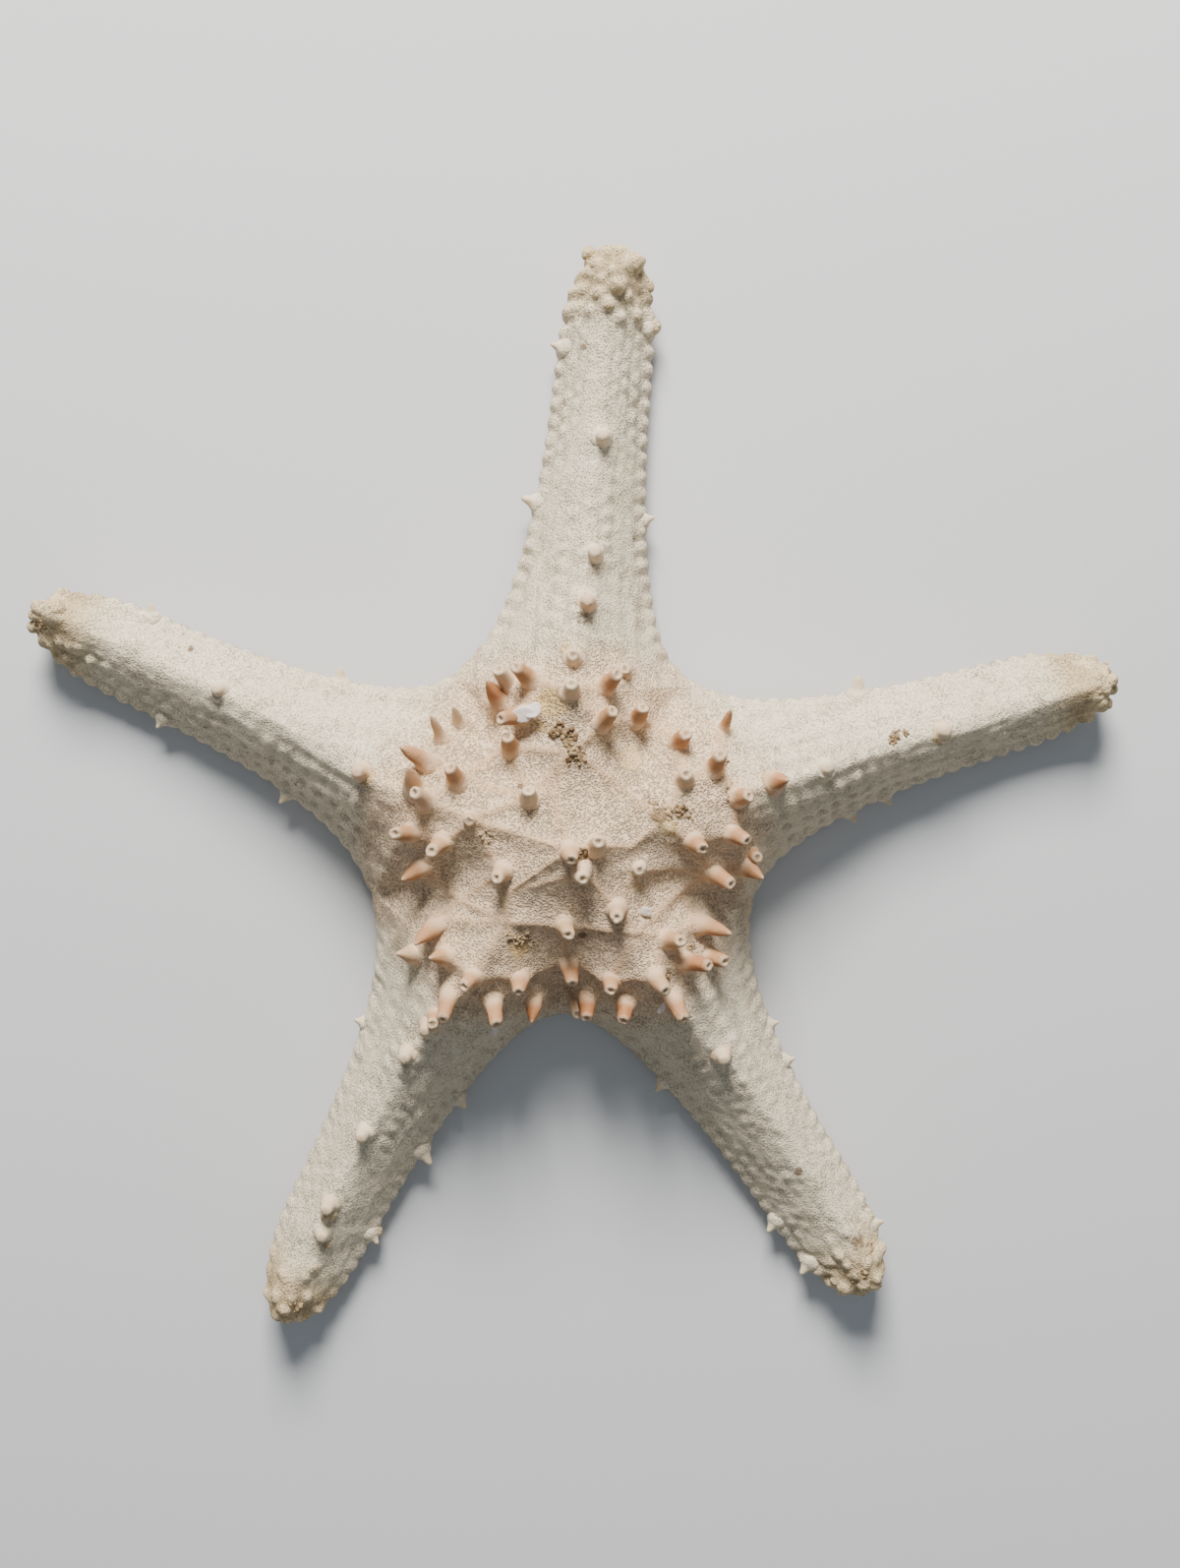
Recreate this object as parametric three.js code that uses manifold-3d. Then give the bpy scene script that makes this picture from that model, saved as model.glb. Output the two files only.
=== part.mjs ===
// A dried five-armed starfish, bleached and rough, lying on its underside.
// Millimetres, +Z up. One piece: skin, plates, spines and tip knobs grew together.
import * as THREE from 'three';
import { ConvexGeometry } from 'three/addons/geometries/ConvexGeometry.js';
import { mergeVertices } from 'three/addons/utils/BufferGeometryUtils.js';
import Module from 'manifold-3d';

// The five arms: where each one points, how far its tip reaches from the middle of the disc, how
// far the tip has bent to the left and how evenly, how far its ridge sits to the left, how stout it
// is, and how much further out than usual the crotch on its left lies.
const arms = [
  { bearing: 17, reach: 127.2, bend: -1.6, evenness: 0.8, ridgeShift: 0, girth: 0.96, crotch: 0.2 },
  { bearing: 89, reach: 130.8, bend: -8.4, evenness: 0.8, ridgeShift: 0, girth: 0.98, crotch: 0 },
  { bearing: 161, reach: 128.8, bend: -9, evenness: 1.1, ridgeShift: -2, girth: 1, crotch: 2.8 },
  { bearing: 233, reach: 132.5, bend: 15, evenness: 1.1, ridgeShift: -1.5, girth: 1.06, crotch: -2 },
  { bearing: 305, reach: 129.3, bend: -3.8, evenness: 0.8, ridgeShift: 3, girth: 1.02, crotch: 0.9 },
];

// Disc and arm outline, seen from above.
const crotchRadius = 44.5;
const armWidth = { tip: 9.2, growth: 8.3, growthFrom: 48, growthLength: 26, filletLength: 4.5, most: 28 };
const crotchSpread = { from: 15, full: 42, until: 48, gone: 85 };
const bendClearance = 4;
const ridgeRunIn = 30;
const tipCap = { length: 24, power: 2.2 };

// Heights above the edge line, which runs along the widest part of the body.
const edgeHeight = 4.5;
const discRise = { most: 28, power: 2.6, root: 1.3 };
const armRise = { tip: 7, growth: 21, from: 30, length: 42, power: 1.2, capLength: 9 };
const armSection = { power: 1.35, root: 0.8 };
const blendPower = 10;
const tipLift = { height: 5, length: 26 };

// Edge plates show as scallops along the arms.
const plate = { pitch: 3.9, bulge: 0.75, lastBeforeTip: 1.2 };
const flute = 0.35;

// Underside: flat where it rests, with a groove along each arm that meets at the mouth.
const underside = { inset: 2.6, grooveHalf: 2.6, grooveDepth: 3.2, narrowBelow: 8, grooveShare: 0.3 };
const mouth = { depth: 7, jawReach: 6, jawDepth: 0.6, lipReach: 8, lipDepth: 4.2 };
const grooveStations = [14, 21, 28];
const flatStations = [18, 30, 40];

// Skin drawn tight between the spines: crests run from spine to spine and it sags between.
const skin = { crest: 1.3, midCrest: 0.6, sag: 0.5, longestCrest: 17, feetClearOfRoot: 1.5 };
const brow = { reaches: [39.5, 42.4], clearOfFeet: 2 };

// Spines of the disc: bearing and reach of the foot, length, lean from upright, and how far
// the lean turns left of straight outwards.
const brokenSpines = [
  [109, 38, 6.5, 40, 12], [101, 37.5, 7, 45, 33], [106.5, 31, 7, 47, 77], [118, 25, 6, 34, -17],
  [88, 35, 5, 25, 0], [77, 36.5, 6.5, 42, -28], [75, 29, 6.5, 40, -24], [61.5, 32, 6, 35, 5],
  [43.5, 33.5, 6, 30, 16], [29, 36.5, 6.5, 39, 45], [31.5, 30, 4.5, 24, 54], [18, 39, 5.5, 25, 6],
  [122.5, 14.5, 5, 28, -30], [146.5, 28, 6, 40, -38], [159, 32, 6, 34, -30], [131, 36, 6.5, 39, -30],
  [173, 33.5, 6, 34, -7], [174.5, 26.5, 5.5, 27, 37], [194.5, 14, 5, 16, 17], [72, 2, 4.5, 20, -137],
  [20, 7, 5, 21, 58], [320, 4.5, 4.5, 10, -33], [313.5, 16, 5, 12, -48], [269, 15.5, 5, 17, 36],
  [5.5, 27.5, 5.5, 22, -31], [6.5, 36, 6, 32, -23], [350.5, 32.5, 6.5, 39, -16], [318.5, 29, 6, 32, 57],
  [316.5, 35.5, 7, 46, 47], [322, 40, 6, 32, 39], [305.5, 33, 6, 31, 11], [305.5, 40, 6.5, 40, -2],
  [291, 36.5, 6, 32, -31], [277.5, 35, 6, 36, -8], [289, 30, 5, 16, -21], [271, 25, 6.5, 41, 11],
  [250, 29.5, 5.5, 27, 14], [244, 37, 7, 43, 37], [231, 40.5, 7, 44, 23], [233.5, 33.5, 5.5, 25, -24],
];
const sharpSpines = [
  [114.5, 34.5, 8, 53, 0], [36, 42.5, 7.5, 48, 39], [18.5, 47.5, 6, 28, 0], [147, 35, 9, 55, -3],
  [157, 35.5, 7.5, 47, -62], [138.5, 36, 8, 50, -29], [187.5, 32, 6.5, 37, 20],
  [353.5, 39.5, 6.5, 42, -22], [330, 33.5, 8.5, 54, 19], [258.5, 35.5, 6.5, 42, 2],
  [221.5, 35, 6, 32, -59], [210, 32, 8, 52, 9], [216, 41.5, 6, 36, -62],
];
const lowSpines = [
  [159.5, 21.5, 2.2, 16, 0], [349, 16, 2.5, 4, 0], [232, 47, 4, 16, 18], [273.5, 37, 5, 15, 0],
  [357, 41, 4, 15, 0], [88, 42, 2.6, 20, 0], [72, 40.5, 2.6, 20, 0],
];
const spineShapes = {
  broken: { foot: 2.4, end: 1.4, sides: 5, sunk: 1.4 },
  sharp: { foot: 2.6, end: 0, sides: 5, sunk: 1.4 },
  low: { foot: 2, end: 1.1, sides: 5, sunk: 1.4 },
};

// Short spines on the arms: arm, distance along it, place across it from -1 to 1, length.
const armSpines = [
  [1, 89, -0.12, 3.2], [1, 64, -0.16, 3.4], [1, 53.5, -0.12, 4.4], [2, 83.5, -0.12, 2.8],
  [2, 47.5, -0.03, 4], [0, 87, 0.04, 2.2], [0, 59.5, 0.04, 1.8], [3, 50, -0.07, 4], [3, 59, -0.12, 3.6],
  [3, 81, -0.12, 4], [3, 100.5, -0.07, 4], [3, 107.5, 0.12, 2.6], [4, 58.5, 0.02, 3.2],
];
const edgeThorns = [
  [1, 109, 1, 3], [1, 75, 1, 3.6], [1, 71.5, -1, 3.2], [1, 113.5, -1, 2.6], [2, 105, -1, 2.6],
  [2, 60, -1, 3.4], [2, 95.5, 1, 2], [2, 63, 1, 2.6], [0, 72.5, 1, 4.6], [0, 72, -1, 2.4],
  [0, 63, -1, 2.6], [3, 63.5, -1, 2.6], [3, 66, 1, 2.4], [3, 81, 1, 3.8], [3, 104.5, 1, 2.8],
  [4, 61.5, -1, 2.6], [4, 104, -1, 2.6], [4, 116.5, -1, 2.8], [4, 63.5, 1, 2], [4, 73, 1, 2],
  [4, 117, 1, 2.4],
];
const armSpineLean = 12;
const thornShape = { foot: 1.5, end: 0, sides: 4, sunk: 0.8 };
const thornStance = { inset: 0.8, above: 1.2, turn: 75, lean: 72 };

// Knobs crowded round each tip: distance back from their line, place across, size.
const tipKnobs = [
  [1.5, 0.9, 2], [1.8, -0.9, 2.1], [0.8, 0.1, 2.2], [5, -0.5, 1.9], [6.5, 0.4, 1.9],
];
const knobLineBack = 0.8;

// Where the middle of the disc lies, so that the part's box is centred on its origin.
const discMiddle = { x: -1.6, y: -7.1 };

const radians = THREE.MathUtils.degToRad;
const halfSector = 180 / arms.length;
const rootDistance = crotchRadius * Math.cos(radians(halfSector));
const rootHalfWidth = crotchRadius * Math.sin(radians(halfSector));

// Columns across an arm, as fractions of its half width.
const topColumns = [-1, -0.88, -0.64, -0.33, 0, 0.33, 0.64, 0.88, 1];

function bareHalfWidth(arm, along) {
  const { tip, growth, growthFrom, growthLength } = armWidth;
  return tip * arm.girth + growth * Math.exp(-(along - growthFrom) / growthLength);
}

function halfWidth(arm, along) {
  const fillet = rootHalfWidth - bareHalfWidth(arm, rootDistance);
  const flare = fillet * Math.exp(-(along - rootDistance) / armWidth.filletLength);
  const open = Math.min(bareHalfWidth(arm, along) + flare, armWidth.most);
  const late = THREE.MathUtils.clamp(1 - (arm.reach - along) / tipCap.length, 0, 1);
  return open * Math.sqrt(1 - late ** tipCap.power);
}

function bendAt(arm, along) {
  const start = rootDistance + bendClearance;
  const part = Math.max(0, (along - start) / (arm.reach - start));
  return arm.bend * part ** arm.evenness;
}

function ridgeAt(arm, along) {
  const part = THREE.MathUtils.clamp((along - rootDistance) / ridgeRunIn, 0, 1);
  return arm.ridgeShift * part;
}

function liftAt(arm, along) {
  const late = THREE.MathUtils.clamp(1 - (arm.reach - along) / tipLift.length, 0, 1);
  return tipLift.height * late * late;
}

// From a place on an arm to the plan, and back.
function toPlan(arm, along, across) {
  const angle = radians(arm.bearing);
  const side = across + bendAt(arm, along);
  const x = along * Math.cos(angle) - side * Math.sin(angle);
  const y = along * Math.sin(angle) + side * Math.cos(angle);
  return new THREE.Vector2(x, y);
}

function toArm(arm, x, y) {
  const angle = radians(arm.bearing);
  const along = x * Math.cos(angle) + y * Math.sin(angle);
  const across = y * Math.cos(angle) - x * Math.sin(angle) - bendAt(arm, along);
  return { along, across };
}

// Height of one arm over the edge line. Its cross-section is a rounded triangle.
function armHeight(arm, x, y) {
  const { along, across } = toArm(arm, x, y);
  const width = Math.max(halfWidth(arm, Math.max(along, 0)), 0.1);
  const ridge = ridgeAt(arm, along);
  const room = across > ridge ? width - ridge : width + ridge;
  const off = along < 0 ? Math.hypot(along, across) / width : Math.abs(across - ridge) / room;
  const shape = Math.max(0, 1 - Math.min(off, 1) ** armSection.power) ** armSection.root;
  const fall = Math.exp(-((Math.max(0, along - armRise.from) / armRise.length) ** armRise.power));
  const late = THREE.MathUtils.clamp(1 - (arm.reach - along) / armRise.capLength, 0, 1);
  return (armRise.tip + armRise.growth * fall) * Math.sqrt(1 - late * late) * shape;
}

// Height of the whole upper side over the edge line: the disc and the arms run together.
function rise(x, y) {
  const off = Math.min(Math.hypot(x, y) / crotchRadius, 1);
  const disc = discRise.most * Math.max(0, 1 - off ** discRise.power) ** discRise.root;
  const sum = arms.reduce((total, arm) => total + armHeight(arm, x, y) ** blendPower, disc ** blendPower);
  return sum ** (1 / blendPower);
}

function onTop(x, y, extra = 0) {
  return new THREE.Vector3(x, y, edgeHeight + rise(x, y) + extra);
}

function polar(bearing, reach) {
  return new THREE.Vector2(reach, 0).rotateAround(new THREE.Vector2(), radians(bearing));
}

// The body is drawn with five equal crotches. This says how much further out or in a place of
// that even body lies on the real one.
function crotchStretch(x, y) {
  const reach = Math.hypot(x, y);
  const { smoothstep, euclideanModulo, radToDeg } = THREE.MathUtils;
  const { from, full, until, gone } = crotchSpread;
  const fade = smoothstep(reach, from, full) * (1 - smoothstep(reach, until, gone));
  const bearing = radToDeg(Math.atan2(y, x));
  return arms.reduce((stretch, arm) => {
    const away = Math.abs(euclideanModulo(bearing - arm.bearing - halfSector + 180, 360) - 180);
    const near = 1 - smoothstep(away, 0, halfSector);
    return stretch + near * fade * (arm.crotch / crotchRadius);
  }, 1);
}

function settle(point) {
  const stretch = crotchStretch(point.x, point.y);
  point.x *= stretch;
  point.y *= stretch;
  return point;
}

// The foot of a disc spine, in the even body.
function footPlan(bearing, reach) {
  const plan = polar(bearing, reach);
  return plan.divideScalar(crotchStretch(plan.x, plan.y));
}

// One ring of points round an arm: over the top from right to left, then back underneath.
function armRing(arm, along) {
  const width = halfWidth(arm, along);
  const lift = liftAt(arm, along);
  const fluted = along > rootDistance ? flute : 0;
  const over = topColumns.map((column, index) => {
    const plan = toPlan(arm, along, column * width);
    const wave = index % 2 === 1 ? fluted : -fluted;
    return onTop(plan.x, plan.y, Math.abs(column) < 1 ? wave + lift : lift);
  });
  const narrowing = Math.min(1, width / underside.narrowBelow);
  const inset = underside.inset * narrowing;
  const groove = Math.min(underside.grooveHalf, width * underside.grooveShare);
  const depth = underside.grooveDepth * narrowing;
  const places = [width - inset, groove, 0, -groove, inset - width];
  const under = places.map((across, index) => {
    const plan = toPlan(arm, along, across);
    return new THREE.Vector3(plan.x, plan.y, lift + (index === 2 ? depth : 0));
  });
  return [...over, ...under];
}

// The outermost point of an edge plate, halfway between two rings.
function plateEdge(arm, along, side) {
  const plan = toPlan(arm, along, side * (halfWidth(arm, along) + plate.bulge));
  return new THREE.Vector3(plan.x, plan.y, edgeHeight + liftAt(arm, along));
}

function ringPlaces(arm) {
  const length = arm.reach - rootDistance - plate.lastBeforeTip;
  const count = Math.round(length / plate.pitch);
  return Array.from({ length: count + 1 }, (unused, index) => rootDistance + (length * index) / count);
}

// The skin of one arm from its root to its tip, as triangles.
function armSkin(arm) {
  const places = ringPlaces(arm);
  const rings = places.map((along) => armRing(arm, along));
  const size = rings[0].length;
  const rightEdge = 0;
  const leftEdge = topColumns.length - 1;
  const triangles = [];
  for (let row = 0; row + 1 < rings.length; row += 1) {
    const middle = (places[row] + places[row + 1]) / 2;
    const edges = { [rightEdge]: plateEdge(arm, middle, -1), [leftEdge]: plateEdge(arm, middle, 1) };
    for (let column = 0; column < size; column += 1) {
      const next = (column + 1) % size;
      const [a, b] = [rings[row][column], rings[row + 1][column]];
      const [c, d] = [rings[row + 1][next], rings[row][next]];
      if (column in edges) {
        triangles.push([a, edges[column], d], [edges[column], b, c], [edges[column], c, d]);
      } else if (next in edges) {
        triangles.push([a, b, edges[next]], [edges[next], b, c], [a, edges[next], d]);
      } else {
        triangles.push([a, b, c], [a, c, d]);
      }
    }
  }
  const last = rings[rings.length - 1];
  const end = toPlan(arm, arm.reach, 0);
  const tip = new THREE.Vector3(end.x, end.y, edgeHeight + tipLift.height);
  for (let column = 0; column < size; column += 1) {
    triangles.push([last[column], tip, last[(column + 1) % size]]);
  }
  return triangles;
}

// Joins points into triangles by their plan, each with the neighbours that lie nearest: the
// lower side of the hull of the points once they are lifted onto a paraboloid.
function joinNeighbours(points) {
  const lifted = points.map((point) => new THREE.Vector3(point.x, point.y, point.x ** 2 + point.y ** 2));
  const key = (x, y) => `${x.toFixed(3)} ${y.toFixed(3)}`;
  const byPlan = new Map(points.map((point) => [key(point.x, point.y), point]));
  const corners = new ConvexGeometry(lifted).getAttribute('position');
  const normal = new THREE.Vector3();
  const triangles = [];
  for (let start = 0; start < corners.count; start += 3) {
    const face = [0, 1, 2].map((step) => new THREE.Vector3().fromBufferAttribute(corners, start + step));
    new THREE.Triangle(...face).getNormal(normal);
    if (normal.z < -1e-4) {
      triangles.push(face.map((corner) => byPlan.get(key(corner.x, corner.y))).reverse());
    }
  }
  return triangles;
}

function middleOf(points) {
  const total = points.reduce((sum, point) => sum.add(point), new THREE.Vector3());
  return total.divideScalar(points.length);
}

// The skin over the disc, up to the roots of the arms: tight crests between spine feet.
function discSkin() {
  const rim = arms.flatMap((arm) => armRing(arm, rootDistance).slice(1, topColumns.length));
  const feet = [...brokenSpines, ...sharpSpines, ...lowSpines]
    .map(([bearing, reach]) => footPlan(bearing, reach))
    .filter(({ x, y }) => arms.every((arm) => toArm(arm, x, y).along < rootDistance - skin.feetClearOfRoot))
    .map((foot) => onTop(foot.x, foot.y, skin.crest));
  const brows = arms.flatMap((arm) => brow.reaches.map((reach) => polar(arm.bearing + halfSector, reach)))
    .filter(({ x, y }) => feet.every((foot) => Math.hypot(foot.x - x, foot.y - y) > brow.clearOfFeet))
    .map(({ x, y }) => onTop(x, y));
  const isCrest = (a, b) => {
    const centre = middleOf([a, b]);
    const radius = Math.hypot(a.x - b.x, a.y - b.y) / 2;
    const alone = feet.every((foot) => foot === a || foot === b
      || Math.hypot(foot.x - centre.x, foot.y - centre.y) > radius);
    return feet.includes(a) && feet.includes(b) && alone && 2 * radius < skin.longestCrest;
  };
  const triangles = [];
  for (const corners of joinNeighbours([...rim, ...feet, ...brows])) {
    const centre = middleOf(corners);
    const sunk = onTop(centre.x, centre.y, -skin.sag);
    corners.forEach((a, index) => {
      const b = corners[(index + 1) % 3];
      const half = middleOf([a, b]);
      if (rim.includes(a) && rim.includes(b)) {
        triangles.push([a, b, sunk]);
      } else {
        const crest = onTop(half.x, half.y, isCrest(a, b) ? skin.midCrest : -skin.sag / 2);
        triangles.push([a, crest, sunk], [crest, b, sunk]);
      }
    });
  }
  return triangles;
}

// The underside of the disc: flat between five grooves that open into the mouth.
function discUnderside() {
  const { grooveHalf, grooveDepth } = underside;
  const rim = arms.flatMap((arm) => {
    const ring = armRing(arm, rootDistance);
    return [...ring.slice(topColumns.length), ring[0]];
  });
  const inner = arms.flatMap((arm) => {
    const place = (along, across, z) => {
      const plan = toPlan(arm, along, across);
      return new THREE.Vector3(plan.x, plan.y, z);
    };
    const between = (reach, z) => {
      const plan = polar(arm.bearing + halfSector, reach);
      return new THREE.Vector3(plan.x, plan.y, z);
    };
    const stations = grooveStations.flatMap((along) => [
      place(along, grooveHalf, 0), place(along, 0, grooveDepth), place(along, -grooveHalf, 0),
    ]);
    const lip = place(mouth.lipReach, 0, mouth.lipDepth);
    const jaw = between(mouth.jawReach, mouth.jawDepth);
    return [...stations, lip, jaw, ...flatStations.map((reach) => between(reach, 0))];
  });
  const centre = new THREE.Vector3(0, 0, mouth.depth);
  return joinNeighbours([...rim, ...inner, centre]).map((triangle) => triangle.reverse());
}

function solidFrom(geometry, wasm) {
  geometry.deleteAttribute('normal');
  geometry.deleteAttribute('uv');
  const merged = mergeVertices(geometry, 1e-4);
  const vertProperties = new Float32Array(merged.getAttribute('position').array);
  const triVerts = new Uint32Array(merged.index.array);
  return new wasm.Manifold(new wasm.Mesh({ numProp: 3, vertProperties, triVerts }));
}

// A spine standing on the skin, its foot sunk in, pointing the way it leans.
function spine(foot, direction, length, shape) {
  const tall = length + shape.sunk;
  const geometry = shape.end > 0
    ? new THREE.CylinderGeometry(shape.end, shape.foot, tall, shape.sides, 1)
    : new THREE.ConeGeometry(shape.foot, tall, shape.sides, 1);
  geometry.translate(0, tall / 2 - shape.sunk, 0);
  const turn = new THREE.Quaternion().setFromUnitVectors(new THREE.Vector3(0, 1, 0), direction);
  geometry.applyQuaternion(turn);
  geometry.translate(foot.x, foot.y, foot.z);
  return geometry;
}

function leaning(bearing, lean) {
  const flat = Math.sin(radians(lean));
  const way = radians(bearing);
  return new THREE.Vector3(flat * Math.cos(way), flat * Math.sin(way), Math.cos(radians(lean)));
}

function discSpines() {
  const stand = (shape) => ([bearing, reach, length, lean, swing]) => {
    const plan = footPlan(bearing, reach);
    const foot = settle(onTop(plan.x, plan.y, skin.crest / 2));
    return spine(foot, leaning(bearing + swing, lean), length, shape);
  };
  return [
    ...brokenSpines.map(stand(spineShapes.broken)),
    ...sharpSpines.map(stand(spineShapes.sharp)),
    ...lowSpines.map(stand(spineShapes.low)),
  ];
}

function spinesOfArms() {
  const upright = armSpines.map(([index, along, place, length]) => {
    const arm = arms[index];
    const plan = toPlan(arm, along, place * halfWidth(arm, along) + ridgeAt(arm, along));
    const foot = settle(onTop(plan.x, plan.y));
    return spine(foot, leaning(arm.bearing, armSpineLean), length, spineShapes.low);
  });
  const thorns = edgeThorns.map(([index, along, side, length]) => {
    const arm = arms[index];
    const { inset, above, turn, lean } = thornStance;
    const plan = toPlan(arm, along, side * (halfWidth(arm, along) - inset));
    const foot = settle(new THREE.Vector3(plan.x, plan.y, edgeHeight + above + liftAt(arm, along)));
    return spine(foot, leaning(arm.bearing + turn * side, lean), length, thornShape);
  });
  return [...upright, ...thorns];
}

function knobs() {
  return arms.flatMap((arm) => tipKnobs.map(([back, place, size], index) => {
    const along = arm.reach - back - knobLineBack;
    const plan = toPlan(arm, along, place * halfWidth(arm, along));
    const foot = onTop(plan.x, plan.y, liftAt(arm, along) - size / 3);
    const geometry = new THREE.IcosahedronGeometry(size, 0);
    geometry.rotateZ(index + radians(arm.bearing));
    geometry.translate(foot.x, foot.y, foot.z);
    return geometry;
  }));
}

function skinGeometry() {
  const triangles = [...arms.flatMap(armSkin), ...discSkin(), ...discUnderside()];
  return new THREE.BufferGeometry().setFromPoints(triangles.flat().map((point) => settle(point.clone())));
}

const wasm = await Module();
wasm.setup();

const grown = [...discSpines(), ...spinesOfArms(), ...knobs()].map((geometry) => solidFrom(geometry, wasm));
const whole = grown.reduce((solid, piece) => solid.add(piece), solidFrom(skinGeometry(), wasm));

const mesh = whole.getMesh();
const geometry = new THREE.BufferGeometry();
geometry.setAttribute('position', new THREE.BufferAttribute(mesh.vertProperties, 3));
geometry.setIndex(new THREE.BufferAttribute(mesh.triVerts, 1));
geometry.computeVertexNormals();

const bleachedSkeleton = new THREE.MeshStandardMaterial({ color: 0xd8ccb9, roughness: 0.9, metalness: 0 });
const starfish = new THREE.Mesh(geometry, bleachedSkeleton);
starfish.name = 'starfish';
starfish.position.set(discMiddle.x, discMiddle.y, 0);

const group = new THREE.Group();
group.add(starfish);

export default group;
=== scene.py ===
import math

import bmesh
import bpy
import numpy as np
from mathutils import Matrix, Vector, noise


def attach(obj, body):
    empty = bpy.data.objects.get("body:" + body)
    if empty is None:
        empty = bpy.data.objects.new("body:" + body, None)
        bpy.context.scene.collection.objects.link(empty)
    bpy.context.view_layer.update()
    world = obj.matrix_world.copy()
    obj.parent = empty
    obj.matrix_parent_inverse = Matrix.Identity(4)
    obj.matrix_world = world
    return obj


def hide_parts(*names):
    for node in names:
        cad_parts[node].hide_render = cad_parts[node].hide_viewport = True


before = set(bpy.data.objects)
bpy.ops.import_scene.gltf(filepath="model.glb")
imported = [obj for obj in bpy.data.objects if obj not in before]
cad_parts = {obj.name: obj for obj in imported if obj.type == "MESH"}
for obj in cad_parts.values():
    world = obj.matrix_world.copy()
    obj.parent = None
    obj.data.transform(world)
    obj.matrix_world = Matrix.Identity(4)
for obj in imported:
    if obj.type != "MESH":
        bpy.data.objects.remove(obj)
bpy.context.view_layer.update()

# Sizes are in millimetres round the middle of the disc, as in the solid, and become metres in place().
mm = 0.001
discMiddle = {"x": -1.6, "y": -7.1}

# Per arm: "flanks" and "beads" say how strongly plates stand out on its left and right flank, first near
# the disc and then nearer the tip, and "scallop" how strongly the edge plates do.
arms = [
    {"bearing": 17, "reach": 127.2, "bend": -1.6, "evenness": 0.8, "ridge": 0, "girth": 0.96,
     "crotch": 0.2, "flanks": (0.2, 1), "beads": (0.3, 0.7), "scallop": 1},
    {"bearing": 89, "reach": 130.8, "bend": -8.4, "evenness": 0.8, "ridge": 0, "girth": 0.98,
     "crotch": 0, "flanks": (0.3, 0.4), "beads": (0.8, 0.75), "scallop": 1},
    {"bearing": 161, "reach": 128.8, "bend": -9, "evenness": 1.1, "ridge": -2, "girth": 1,
     "crotch": 2.8, "flanks": (1, 0.15), "beads": (0.65, 0.25), "scallop": 0.9},
    {"bearing": 233, "reach": 132.5, "bend": 15, "evenness": 1.1, "ridge": -1.5, "girth": 1.06,
     "crotch": -2, "flanks": (0.35, 0.25), "beads": (0.3, 0.5), "scallop": 0.65},
    {"bearing": 305, "reach": 129.3, "bend": -3.8, "evenness": 0.8, "ridge": 3, "girth": 1.02,
     "crotch": 0.9, "flanks": (0.3, 0.4), "beads": (0.45, 0.65), "scallop": 0.85},
]

crotchRadius = 44.5
armWidth = {"tip": 9.2, "growth": 8.3, "from": 48, "length": 26, "fillet": 4.5, "most": 28}
crotchSpread = {"from": 15, "full": 42, "until": 48, "gone": 85}
bendClearance = 4  # how far out from the disc an arm starts to bend
ridgeRunIn = 30  # the length over which the ridge moves to its place
tipCap = {"length": 24, "power": 2.2}
edgeHeight = 4.5  # the rounded edge over the ground
discRise = {"most": 28, "power": 2.6, "root": 1.3}
armRise = {"tip": 7, "growth": 21, "from": 30, "length": 42, "power": 1.2, "cap": 9}
armSection = {"power": 1.35, "root": 0.8, "softRidge": 0.18}
blendPower = 10  # how tightly the disc and the arms join
tipLift = {"height": 5, "length": 26}
plate = {
    "pitch": 3.9, "bulge": 0.75, "tipBulge": 0.5, "beforeTip": 1.2, "rows": 0.21, "lastRow": 0.945,
    "relief": 0.75,
}
underside = {"inset": 2.6, "groove": 2.6, "depth": 3.2, "mouthDepth": 3.8, "mouthReach": 10, "narrow": 8}
skin = {"crest": 1.1, "midCrest": 0.75, "sag": 0.5, "slope": 1, "mound": 2.2, "moundReach": 1.85}

halfSector = 180 / len(arms)
rootDistance = crotchRadius * math.cos(math.radians(halfSector))
rootHalfWidth = crotchRadius * math.sin(math.radians(halfSector))

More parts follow.
